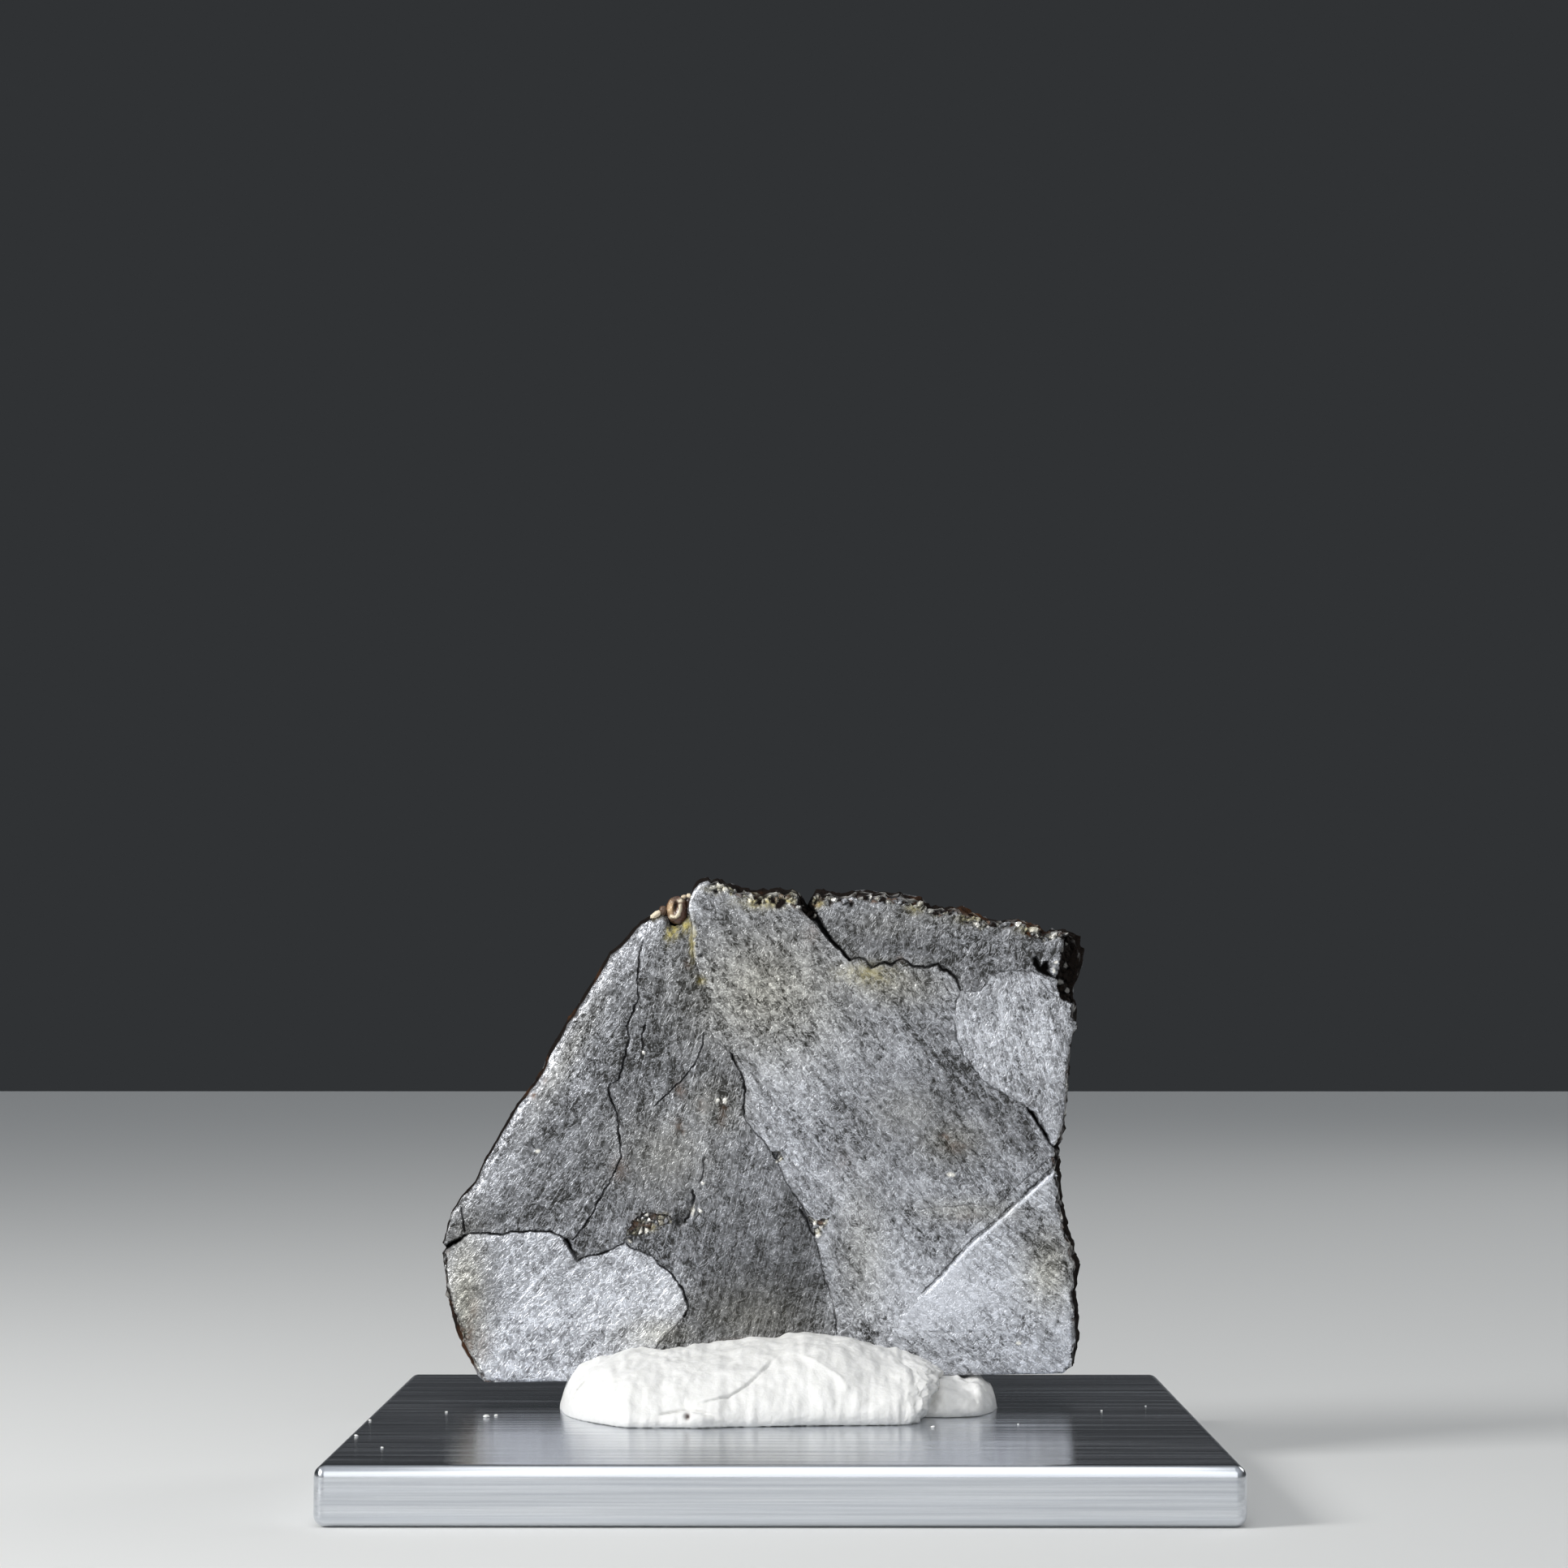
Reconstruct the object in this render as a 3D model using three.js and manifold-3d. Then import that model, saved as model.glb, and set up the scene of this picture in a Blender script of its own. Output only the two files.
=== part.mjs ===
// Slice of an iron meteorite that stands on edge in a lump of white putty, on a small aluminium plate.
// Millimetres, +Z up, +X to the right. The sawn front face of the slice looks towards -Y.
// The origin is the middle of the plate's underside.

import * as THREE from 'three';
import { mergeVertices } from 'three/addons/utils/BufferGeometryUtils.js';
import { RoundedBoxGeometry } from 'three/addons/geometries/RoundedBoxGeometry.js';
import Module from 'manifold-3d';

const wasm = await Module();
wasm.setup();

// Driving dimensions of the plate
const PLATE_SIDE = 60;
const PLATE_THICKNESS = 4;
const PLATE_EDGE_RADIUS = 0.8;

// Driving dimensions of the slice
const SLICE_WIDTH = 46.7;
const SLICE_THICKNESS = 4;
const SLICE_MIDDLE_X = -1.4;
const SLICE_FRONT_Y = 2.8;
const SLICE_LIFT = 2;
const RIND_FLARE = 0.036;
const RIND_LUMP = 0.16;
const RIND_STEPS = 5;

// Driving dimensions of the cracks, pits and nodule
const DEEP_CRACK = 1.2;
const SHALLOW_CRACK = 0.5;
const GROOVE_PROUD = 0.3;
const NODULE_SIZE = [0.95, 1.4, 0.9];
const NODULE_DEPTH = 1.5;
const CAVITY_SIZE = [1.15, 1.3, 2.3];
const CAVITY_DEPTH = 0.2;
const PIT_SIZE = [0.42, 0.42, 0.42];

// Driving dimensions of the putty
const PUTTY_GAP = 0.3;
const PUTTY_MIDDLE_Y = SLICE_FRONT_Y + SLICE_THICKNESS / 2;
const PUTTY_LUMP = 0.12;
const PUTTY_RINGS = 34;
const PUTTY_SIDES = 32;

// The front face was traced at this scale: columns run right, rows run down
const TRACE_LEFT = 549;
const TRACE_RIGHT = 1331;
const TRACE_BOTTOM = 1699;
const MM_PER_UNIT = SLICE_WIDTH / (TRACE_RIGHT - TRACE_LEFT);
const TRACE_MIDDLE = (TRACE_LEFT + TRACE_RIGHT) / 2;

const OUTLINE_TRACE = [
  [600, 1699], [590, 1680], [572, 1640], [562, 1612], [553, 1575], [549, 1537], [553, 1515], [558, 1495],
  [570, 1475], [588, 1457], [600, 1430], [620, 1396], [640, 1362], [660, 1338], [672, 1318], [690, 1282],
  [708, 1253], [722, 1229], [742, 1197], [753, 1178], [765, 1168], [780, 1152], [800, 1134], [815, 1128],
  [822, 1130], [826, 1141], [838, 1140], [848, 1130], [847, 1120], [855, 1098], [870, 1086], [880, 1091],
  [900, 1095], [925, 1103], [940, 1105], [960, 1102], [983, 1108], [1003, 1105], [1020, 1107],
  [1040, 1109], [1055, 1104], [1090, 1107], [1105, 1106], [1120, 1111], [1132, 1112], [1140, 1120],
  [1160, 1124], [1180, 1122], [1195, 1130], [1230, 1138], [1250, 1137], [1270, 1143], [1285, 1150],
  [1305, 1149], [1320, 1155], [1328, 1163], [1331, 1182], [1328, 1205], [1322, 1220], [1320, 1240],
  [1325, 1268], [1318, 1280], [1313, 1340], [1308, 1386], [1299, 1408], [1299, 1440], [1302, 1480],
  [1315, 1534], [1321, 1559], [1318, 1591], [1320, 1623], [1320, 1665], [1314, 1684], [1304, 1688],
];
const CENTRE_TRACE = [940, 1420];
const BOTTOM_EDGE_TRACE = [[600, 1699], [1304, 1688]];

// Cracks between the crystal grains, each with its width and depth in millimetres
const CRACKS = [
  {
    name: 'edge of the lower left grain', width: 0.46, depth: DEEP_CRACK,
    path: [[540, 1539], [570, 1525], [590, 1517], [632, 1516], [678, 1515], [697, 1523], [713, 1553],
      [740, 1543], [772, 1528], [791, 1540], [817, 1561], [841, 1583], [847, 1609], [843, 1622]],
  },
  {
    name: 'edge of the left grain', width: 0.28, depth: SHALLOW_CRACK,
    path: [[787, 1178], [785, 1215], [787, 1230], [772, 1265], [776, 1280], [763, 1330], [751, 1342],
      [761, 1375], [765, 1425], [750, 1457], [730, 1495], [706, 1526]],
  },
  {
    name: 'short crack in the middle grain', width: 0.22, depth: SHALLOW_CRACK,
    path: [[867, 1268], [862, 1300], [845, 1325], [822, 1348], [800, 1368]],
  },
  {
    name: 'edge of the middle grain', width: 0.24, depth: SHALLOW_CRACK,
    path: [[852, 1132], [854, 1180], [868, 1225], [875, 1268], [900, 1296], [915, 1322], [916, 1364],
      [929, 1394], [952, 1420], [968, 1454], [993, 1492], [1011, 1540], [1022, 1588], [1031, 1642]],
  },
  {
    name: 'edge of the top right grain', width: 0.24, depth: SHALLOW_CRACK,
    path: [[1043, 1178], [1070, 1188], [1102, 1188], [1130, 1192], [1157, 1190], [1175, 1203],
      [1183, 1221], [1207, 1221], [1222, 1202], [1245, 1196], [1282, 1203], [1300, 1222]],
  },
  {
    name: 'edge of the bright right grain', width: 0.24, depth: SHALLOW_CRACK,
    path: [[1183, 1221], [1176, 1259], [1188, 1300], [1210, 1330], [1255, 1359], [1278, 1383]],
  },
  {
    name: 'open end of that crack', width: 0.44, depth: DEEP_CRACK,
    path: [[1266, 1367], [1286, 1394], [1306, 1418]],
  },
  {
    name: 'straight line on the right', width: 0.26, depth: SHALLOW_CRACK,
    path: [[1306, 1434], [1239, 1492], [1191, 1534], [1140, 1588]],
  },
  {
    name: 'small crack low in the middle', width: 0.22, depth: SHALLOW_CRACK,
    path: [[868, 1428], [866, 1450], [855, 1470], [852, 1490], [843, 1505]],
  },
];

// The wedge crack that opens at the top edge: left lip down, then right lip up
const WEDGE_TRACE = [
  [983, 1090], [984, 1108], [1000, 1135], [1020, 1158], [1047, 1184], [1025, 1158], [1013, 1132],
  [1004, 1110], [1003, 1090],
];

const NODULE_TRACE = [834, 1124];
const CAVITY_TRACE = [1322, 1199];
const PITS_TRACE = [[1276, 1184], [1287, 1196], [1294, 1180], [863, 1177], [800, 1507]];

// The lumps of putty, from left to right: place along X, reach to the front and back, and height
const MAIN_LUMP = [
  { x: -16.3, front: 0, back: 0, height: 0 },
  { x: -15.9, front: 4.5, back: 3.6, height: 1.8 },
  { x: -15, front: 7.6, back: 5.4, height: 2.9 },
  { x: -13.4, front: 10.4, back: 6.8, height: 3.9 },
  { x: -11, front: 13.6, back: 7.4, height: 4.3 },
  { x: -6, front: 13.8, back: 7.6, height: 4.7 },
  { x: -1, front: 12.8, back: 7.8, height: 5.2 },
  { x: 2, front: 12.3, back: 7.6, height: 5.75 },
  { x: 4.5, front: 12.2, back: 7.2, height: 5.4 },
  { x: 7, front: 12, back: 6.8, height: 4.6 },
  { x: 9.4, front: 11.6, back: 6, height: 4.1 },
  { x: 10.9, front: 9.4, back: 4.6, height: 3.5 },
  { x: 11.8, front: 5.4, back: 3, height: 2.9 },
  { x: 12.2, front: 0, back: 0, height: 0 },
];
const LOW_LUMP = [
  { x: 4, front: 0, back: 0, height: 0 },
  { x: 5, front: 6, back: 4, height: 1.8 },
  { x: 9, front: 9.6, back: 6.2, height: 2.5 },
  { x: 12, front: 9.4, back: 6, height: 2.5 },
  { x: 14.2, front: 6.6, back: 4.8, height: 2.3 },
  { x: 15.3, front: 3.6, back: 3, height: 1.6 },
  { x: 15.8, front: 0, back: 0, height: 0 },
];

// Turns a traced point into millimetres beside and above the slice's lowest corner row
function fromTrace([column, row]) {
  return new THREE.Vector2((column - TRACE_MIDDLE) * MM_PER_UNIT, (TRACE_BOTTOM - row) * MM_PER_UNIT);
}

// A soft unevenness between -1 and 1, about two millimetres from one lump to the next
function lumps(x, y, z) {
  const broad = Math.sin(1.9 * x + 1.3 * y) * Math.sin(1.7 * z - 0.8 * x + 0.5);
  const fine = Math.sin(3.7 * z + 2.9 * y + 1.1) * Math.sin(3.3 * x - 2.1 * z);
  return 0.6 * broad + 0.4 * fine;
}

// Changes every vertex of a geometry with one function of its place
function reshape(geometry, move) {
  const position = geometry.attributes.position;
  const vertex = new THREE.Vector3();
  for (let i = 0; i < position.count; i += 1) {
    vertex.fromBufferAttribute(position, i);
    move(vertex);
    position.setXYZ(i, vertex.x, vertex.y, vertex.z);
  }
  return geometry;
}

// A solid for joining and cutting, made of the closed surface of a geometry
function toSolid(geometry) {
  const bare = geometry.clone();
  bare.deleteAttribute('normal');
  bare.deleteAttribute('uv');
  const closed = mergeVertices(bare, 1e-5);
  const mesh = new wasm.Mesh({
    numProp: 3,
    vertProperties: new Float32Array(closed.attributes.position.array),
    triVerts: new Uint32Array(closed.index.array),
  });
  mesh.merge();
  return new wasm.Manifold(mesh);
}

function toGeometry(solid) {
  const mesh = solid.getMesh();
  const geometry = new THREE.BufferGeometry();
  geometry.setAttribute('position', new THREE.BufferAttribute(mesh.vertProperties, 3));
  geometry.setIndex(new THREE.BufferAttribute(mesh.triVerts, 1));
  geometry.computeVertexNormals();
  return geometry;
}

// A prism on a traced face: its front is at y = front and it reaches back by depth
function prism(points, front, depth, steps = 1) {
  const geometry = new THREE.ExtrudeGeometry(new THREE.Shape(points), {
    depth, steps, bevelEnabled: false,
  });
  return geometry.rotateX(Math.PI / 2).translate(0, front + depth, 0);
}

// The sawn slice with its natural rind, which is a little wider at the back than at the front
function sliceBlank() {
  const centre = fromTrace(CENTRE_TRACE);
  const blank = prism(OUTLINE_TRACE.map(fromTrace), 0, SLICE_THICKNESS, RIND_STEPS);
  return reshape(blank, (v) => {
    const depth = v.y / SLICE_THICKNESS;
    const lump = RIND_LUMP * lumps(v.x, v.y, v.z) * Math.sin(Math.PI * depth);
    const reach = Math.hypot(v.x - centre.x, v.z - centre.y);
    const spread = 1 + RIND_FLARE * depth + lump / reach;
    v.x = centre.x + (v.x - centre.x) * spread;
    if (v.z > centre.y) v.z = centre.y + (v.z - centre.y) * spread;
  });
}

// The outline of a crack: full width along the middle of its path, pointed at both ends
function crackOutline(path, width) {
  const points = path.map(fromTrace);
  const last = points.length - 1;
  const left = [];
  const right = [];
  for (let i = 1; i < last; i += 1) {
    const along = points[i + 1].clone().sub(points[i - 1]).normalize();
    const across = new THREE.Vector2(-along.y, along.x).multiplyScalar(width / 2);
    left.push(points[i].clone().add(across));
    right.unshift(points[i].clone().sub(across));
  }
  return [points[0], ...left, points[last], ...right];
}

// Grooves reach a little out of the face that they cut, so that they cut it cleanly
function frontGroove(outline, depth) {
  return toSolid(prism(outline, -GROOVE_PROUD, depth + GROOVE_PROUD));
}

function backGroove(outline, depth) {
  return toSolid(prism(outline, SLICE_THICKNESS - depth, depth + GROOVE_PROUD));
}

// A rounded knob or hollow, centred at a traced point and that deep behind the front face
function knob(place, [radiusX, radiusY, radiusZ], depth) {
  const centre = fromTrace(place);
  const geometry = new THREE.IcosahedronGeometry(1, 2);
  geometry.scale(radiusX, radiusY, radiusZ).translate(centre.x, depth, centre.y);
  return toSolid(geometry);
}

function sliceGeometry() {
  let solid = toSolid(sliceBlank());
  for (const crack of CRACKS) {
    const outline = crackOutline(crack.path, crack.width);
    solid = solid.subtract(frontGroove(outline, crack.depth));
    if (crack.depth === DEEP_CRACK) solid = solid.subtract(backGroove(outline, crack.depth));
  }
  const wedge = WEDGE_TRACE.map(fromTrace);
  solid = solid.subtract(frontGroove(wedge, DEEP_CRACK)).subtract(backGroove(wedge, DEEP_CRACK));
  solid = solid.subtract(knob(CAVITY_TRACE, CAVITY_SIZE, CAVITY_DEPTH));
  for (const pit of PITS_TRACE) solid = solid.subtract(knob(pit, PIT_SIZE, 0));
  solid = solid.add(knob(NODULE_TRACE, NODULE_SIZE, NODULE_DEPTH));
  return toGeometry(solid);
}

// The value of a station's measure between the stations that it lies between
function between(stations, x, measure) {
  const next = Math.max(1, stations.findIndex((station) => station.x >= x));
  const before = stations[next - 1];
  const after = stations[next];
  const share = (x - before.x) / (after.x - before.x);
  return THREE.MathUtils.lerp(before[measure], after[measure], THREE.MathUtils.clamp(share, 0, 1));
}

// A lump pressed flat on the plate: a ball drawn out along X to the reach given at each station
function puttyLump(stations) {
  const first = stations[0].x;
  const last = stations[stations.length - 1].x;
  const ball = new THREE.SphereGeometry(1, PUTTY_SIDES, PUTTY_RINGS).rotateZ(-Math.PI / 2);
  return reshape(ball, (v) => {
    const x = THREE.MathUtils.clamp((first + last) / 2 + (v.x * (last - first)) / 2, first, last);
    const round = Math.hypot(v.y, v.z) || 1;
    const across = v.y / round;
    const up = Math.max(0, v.z / round);
    const reach = between(stations, x, across < 0 ? 'front' : 'back');
    const height = between(stations, x, 'height');
    const swell = 1 + PUTTY_LUMP * up * Math.abs(across) * lumps(x / 2, across, up);
    v.set(x, PUTTY_MIDDLE_Y + across * reach * swell, PLATE_THICKNESS + up * height);
  });
}

// The slot that the slice's lower edge has pressed into the putty
function slotSolid() {
  const [left, right] = BOTTOM_EDGE_TRACE.map(fromTrace);
  const top = left.y + SLICE_WIDTH;
  const corners = [
    new THREE.Vector2(left.x, left.y - PUTTY_GAP), new THREE.Vector2(left.x, top),
    new THREE.Vector2(right.x, top), new THREE.Vector2(right.x, right.y - PUTTY_GAP),
  ];
  const slot = prism(corners, -PUTTY_GAP, SLICE_THICKNESS + 2 * PUTTY_GAP);
  return toSolid(slot.translate(SLICE_MIDDLE_X, SLICE_FRONT_Y, PLATE_THICKNESS + SLICE_LIFT));
}

function puttyGeometry() {
  const lumpsJoined = toSolid(puttyLump(MAIN_LUMP)).add(toSolid(puttyLump(LOW_LUMP)));
  return toGeometry(lumpsJoined.subtract(slotSolid()));
}

function plateGeometry() {
  const segments = 3;
  return new RoundedBoxGeometry(PLATE_SIDE, PLATE_SIDE, PLATE_THICKNESS, segments, PLATE_EDGE_RADIUS);
}

const finishes = {
  plate: new THREE.MeshStandardMaterial({ color: 0xb9bec6, roughness: 0.32, metalness: 1 }),
  putty: new THREE.MeshStandardMaterial({ color: 0xe6e5e2, roughness: 0.65, metalness: 0 }),
  slice: new THREE.MeshStandardMaterial({ color: 0x8f9096, roughness: 0.45, metalness: 1 }),
};

const plate = new THREE.Mesh(plateGeometry(), finishes.plate);
plate.name = 'base_plate';
plate.position.set(0, 0, PLATE_THICKNESS / 2);

const putty = new THREE.Mesh(puttyGeometry(), finishes.putty);
putty.name = 'putty';

const slice = new THREE.Mesh(sliceGeometry(), finishes.slice);
slice.name = 'meteorite_slice';
slice.position.set(SLICE_MIDDLE_X, SLICE_FRONT_Y, PLATE_THICKNESS + SLICE_LIFT);

const group = new THREE.Group();
group.add(plate, putty, slice);

export default group;
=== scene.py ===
# %% [markdown]
# # A slice of an iron meteorite on its stand
# The real thing is a slice sawn from a lump of nickel-iron, lapped flat and lightly etched, so that its
# coarse crystal grains show as light and dark fields with cracks between them. It stands on edge in a lump
# of white putty, and the putty sits on a small plate of brushed aluminium. This lesson dresses a measured
# model of those three pieces, which gives the box of each piece and where it stands.

# %% Load the measured model
import math

import bmesh
import bpy
import numpy as np
from mathutils import Matrix, Vector, noise


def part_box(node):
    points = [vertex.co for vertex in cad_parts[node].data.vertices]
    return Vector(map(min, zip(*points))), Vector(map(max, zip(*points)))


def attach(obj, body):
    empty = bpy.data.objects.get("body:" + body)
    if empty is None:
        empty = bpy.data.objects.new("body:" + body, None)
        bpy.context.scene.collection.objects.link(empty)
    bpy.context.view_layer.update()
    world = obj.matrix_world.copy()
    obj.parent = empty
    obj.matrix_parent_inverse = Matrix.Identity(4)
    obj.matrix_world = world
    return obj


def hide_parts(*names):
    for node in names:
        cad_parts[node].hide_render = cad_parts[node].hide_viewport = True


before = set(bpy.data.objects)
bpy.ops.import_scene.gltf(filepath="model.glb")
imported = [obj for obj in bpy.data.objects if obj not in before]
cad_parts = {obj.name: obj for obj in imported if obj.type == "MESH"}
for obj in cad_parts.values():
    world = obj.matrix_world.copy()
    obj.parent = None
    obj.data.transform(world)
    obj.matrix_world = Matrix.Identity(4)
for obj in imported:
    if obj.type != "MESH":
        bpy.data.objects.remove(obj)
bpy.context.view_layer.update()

MM = 0.001
plate_low, plate_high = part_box("base_plate")
slice_low, slice_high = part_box("meteorite_slice")
print("slice from", slice_low, "to", slice_high)

# %% [markdown]
# ## The camera
# The picture is square, and its lines give the lens away: the plate's sides run to one point on the horizon.
# The camera therefore stands low in front of the plate, with a long lens, tilted up a little, and its
# angles follow from how far the horizon lies below the middle of the picture. Columns and rows are counted
# in a picture of 1932 by 1932, from its upper left corner.

# %% Camera
PICTURE_SIZE = 1932
FOCAL_LENGTH_IN_PIXELS = 4590
HORIZON_ROW = 1240
VANISHING_COLUMN = 985
CAMERA_PLACE = Vector((1.26, -271.0, 33.4)) * MM
SENSOR_WIDTH = 36

camera_data = bpy.data.cameras.new("camera")
camera_data.sensor_width = SENSOR_WIDTH
camera_data.lens = SENSOR_WIDTH * FOCAL_LENGTH_IN_PIXELS / PICTURE_SIZE
camera_data.clip_start = 0.01
camera = bpy.data.objects.new("camera", camera_data)
tilt_up = math.atan((HORIZON_ROW - PICTURE_SIZE / 2) / FOCAL_LENGTH_IN_PIXELS)
turn_left = math.atan((VANISHING_COLUMN - PICTURE_SIZE / 2) / FOCAL_LENGTH_IN_PIXELS)
camera.location = CAMERA_PLACE
camera.rotation_euler = (math.pi / 2 + tilt_up, 0, turn_left)
bpy.context.collection.objects.link(camera)
bpy.context.scene.camera = camera
bpy.context.scene.view_settings.view_transform = "Standard"
print("lens", round(camera_data.lens, 1), "mm, tilted up", round(math.degrees(tilt_up), 2), "degrees")

# %% [markdown]
# ## Helpers for materials
# Colours are written as the hex values that a painter or a screen uses. A render adds light up in linear
# numbers, so one function turns the first into the second. Every material is a small tree of nodes, and one
# function adds a node with its settings, its plain values and its links.

# %% Colours and nodes
def linear(hex_colour):
    """The linear colour of an sRGB hex value such as "8f9096"."""
    shares = [int(hex_colour[i:i + 2], 16) / 255 for i in (0, 2, 4)]
    return (*[s / 12.92 if s <= 0.04045 else ((s + 0.055) / 1.055) ** 2.4 for s in shares], 1.0)


def add_node(tree, kind, settings=None, sockets=None):
    """Adds a node. A socket's value is a number or colour, or another node's output, which is linked."""
    made = tree.nodes.new(kind)
    for name, value in (settings or {}).items():
        setattr(made, name, value)
    for name, value in (sockets or {}).items():
        if isinstance(value, bpy.types.NodeSocket):
            tree.links.new(value, made.inputs[name])
        else:
            made.inputs[name].default_value = value
    return made


def new_material(name):
    """An empty material: its node tree and its one shader."""
    material = bpy.data.materials.new(name)
    material.use_nodes = True
    shader = material.node_tree.nodes["Principled BSDF"]
    return material, material.node_tree, shader


# The Mix node has one pair of inputs for each kind of value, so the colour ones are named here
MIX_FACTOR, MIX_FIRST, MIX_SECOND, MIX_RESULT = 0, 6, 7, 2
print("middle grey, linear:", round(linear("808080")[0], 3))

# %% [markdown]
# ## Floor and light
# The floor is a plain pale sheet of matte paper, which gives the eye a soft even ground. The key light is a
# soft lamp at the upper left, in front of the slice, as a window would be. A broad, weaker one fills the
# front, because flat metal only shows what stands opposite it. A third, overhead, draws the bright line
# along the plate's rounded edge, and a fourth lights the back. The surroundings are bright above and in
# front and dark behind, so the plate's top mirrors something dark.

# %% Floor
FLOOR_HALF_WIDTH = 1.2

floor_mesh = bmesh.new()
bmesh.ops.create_grid(floor_mesh, x_segments=1, y_segments=1, size=FLOOR_HALF_WIDTH)
floor_data = bpy.data.meshes.new("floor")
floor_mesh.to_mesh(floor_data)
floor_mesh.free()
floor = bpy.data.objects.new("floor", floor_data)
bpy.context.collection.objects.link(floor)

pale_paper, tree, shader = new_material("pale_matte_paper")
shader.inputs["Base Color"].default_value = linear("d2d2d0")
shader.inputs["Roughness"].default_value = 0.9
floor_data.materials.append(pale_paper)
print("floor", 2 * FLOOR_HALF_WIDTH, "m wide")

# %% Lamps
LAMPS = [
    # name, place in mm, point it looks at in mm, width and length in mm, power in watts
    ("key", (-290, -150, 200), (0, 0, 20), (120, 120), 1.16),
    ("front_fill", (30, -420, 230), (0, 0, 15), (420, 420), 0.53),
    ("overhead", (10, -120, 390), (10, -20, 5), (170, 460), 0.30),
    ("back_fill", (430, 340, 340), (0, 30, 0), (260, 260), 0.60),
]

for name, place, target, (width, length), power in LAMPS:
    lamp_data = bpy.data.lights.new(name, "AREA")
    lamp_data.shape = "RECTANGLE"
    lamp_data.size = width * MM
    lamp_data.size_y = length * MM
    lamp_data.energy = power
    lamp = bpy.data.objects.new(name, lamp_data)
    lamp.location = Vector(place) * MM
    lamp.rotation_euler = (Vector(target) - Vector(place)).to_track_quat("-Z", "Y").to_euler()
    bpy.context.collection.objects.link(lamp)
    print(name, "lamp", round((Vector(target) - Vector(place)).length), "mm away")

# %% Surroundings: dark behind, bright above and in front
BRIGHT_SIDE = (0.0, -0.40, 0.75)

world = bpy.data.worlds.new("studio")
bpy.context.scene.world = world
world.use_nodes = True
tree = world.node_tree
background = tree.nodes["Background"]
direction = add_node(tree, "ShaderNodeTexCoord").outputs["Generated"]
towards = add_node(tree, "ShaderNodeVectorMath", {"operation": "DOT_PRODUCT"},
                   {0: direction, 1: BRIGHT_SIDE}).outputs["Value"]
climb = add_node(tree, "ShaderNodeMapRange", {"interpolation_type": "SMOOTHSTEP"},
                 {"Value": towards, "From Min": 0.05, "From Max": 0.85}).outputs["Result"]
sky = add_node(tree, "ShaderNodeMix", {"data_type": "RGBA"},
               {MIX_FACTOR: climb, MIX_FIRST: linear("303234"), MIX_SECOND: linear("b9bdc2")})
tree.links.new(sky.outputs[MIX_RESULT], background.inputs["Color"])
background.inputs["Strength"].default_value = 1.0
print("brightest towards", BRIGHT_SIDE)

# %% [markdown]
# ## The slice: tracing its front face
# The outline and every crack were followed on a flat picture of the front face, in that picture's own
# columns and rows. The slice's width in millimetres gives the scale, so a traced point becomes a place on
# the real face. Points are few on straight stretches and close at corners and notches.

# %% Scale of the tracing
TRACE_LEFT = 549
TRACE_RIGHT = 1331
TRACE_BOTTOM = 1699
SLICE_WIDTH = 46.7
SLICE_MIDDLE_X = -1.4
MM_PER_UNIT = SLICE_WIDTH / (TRACE_RIGHT - TRACE_LEFT)
THICKNESS = (slice_high.y - slice_low.y) / MM


def traced(points):
    """Traced columns and rows as millimetres: x to the right and z up, in the model's own frame."""
    points = np.array(points, float)
    x = SLICE_MIDDLE_X + (points[:, 0] - (TRACE_LEFT + TRACE_RIGHT) / 2) * MM_PER_UNIT
    z = slice_low.z / MM + (TRACE_BOTTOM - points[:, 1]) * MM_PER_UNIT
    return np.column_stack([x, z])


print("one column is", round(MM_PER_UNIT, 4), "mm")

# %% Outline of the front face
OUTLINE = [
    (600, 1699), (597, 1695), (590, 1680), (580, 1660), (572, 1640), (567, 1625), (562, 1612), (556, 1595),
    (553, 1575), (550, 1555), (549, 1544), (553, 1537), (549, 1531), (553, 1515), (558, 1495), (565, 1483),
    (570, 1475), (588, 1457), (600, 1430), (612, 1410), (620, 1396), (640, 1362), (660, 1338), (672, 1318),
    (680, 1298), (690, 1282), (700, 1263), (708, 1253), (722, 1229), (742, 1197), (753, 1178), (765, 1168),
    (780, 1152), (790, 1141), (800, 1134), (815, 1128), (822, 1130), (825, 1140), (831, 1142), (838, 1140),
    (846, 1131), (847, 1120), (850, 1108), (855, 1098), (862, 1090), (868, 1087), (872, 1086), (876, 1090),
    (884, 1089), (900, 1095), (910, 1101), (925, 1103), (940, 1105), (960, 1102), (975, 1103), (983, 1108),
    (993, 1122), (1003, 1105), (1020, 1107), (1040, 1109), (1055, 1104), (1075, 1105), (1090, 1107),
    (1105, 1106), (1120, 1111), (1132, 1112), (1140, 1120), (1160, 1124), (1180, 1122), (1195, 1130),
    (1210, 1135), (1230, 1138), (1250, 1137), (1270, 1143), (1280, 1147), (1285, 1153), (1292, 1148),
    (1305, 1149), (1317, 1154), (1328, 1163), (1331, 1175), (1331, 1190), (1326, 1207), (1319, 1221),
    (1320, 1240), (1325, 1268), (1318, 1280), (1316, 1300), (1313, 1340), (1308, 1386), (1302, 1404),
    (1297, 1412), (1298, 1440), (1302, 1480), (1307, 1505), (1315, 1534), (1321, 1559), (1318, 1591),
    (1320, 1623), (1320, 1662), (1317, 1680), (1306, 1688),
]
CENTRE = traced([(940, 1420)])[0]
outline = traced(OUTLINE)
print("outline:", len(outline), "points,", np.ptp(outline, axis=0).round(1), "mm")
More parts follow.
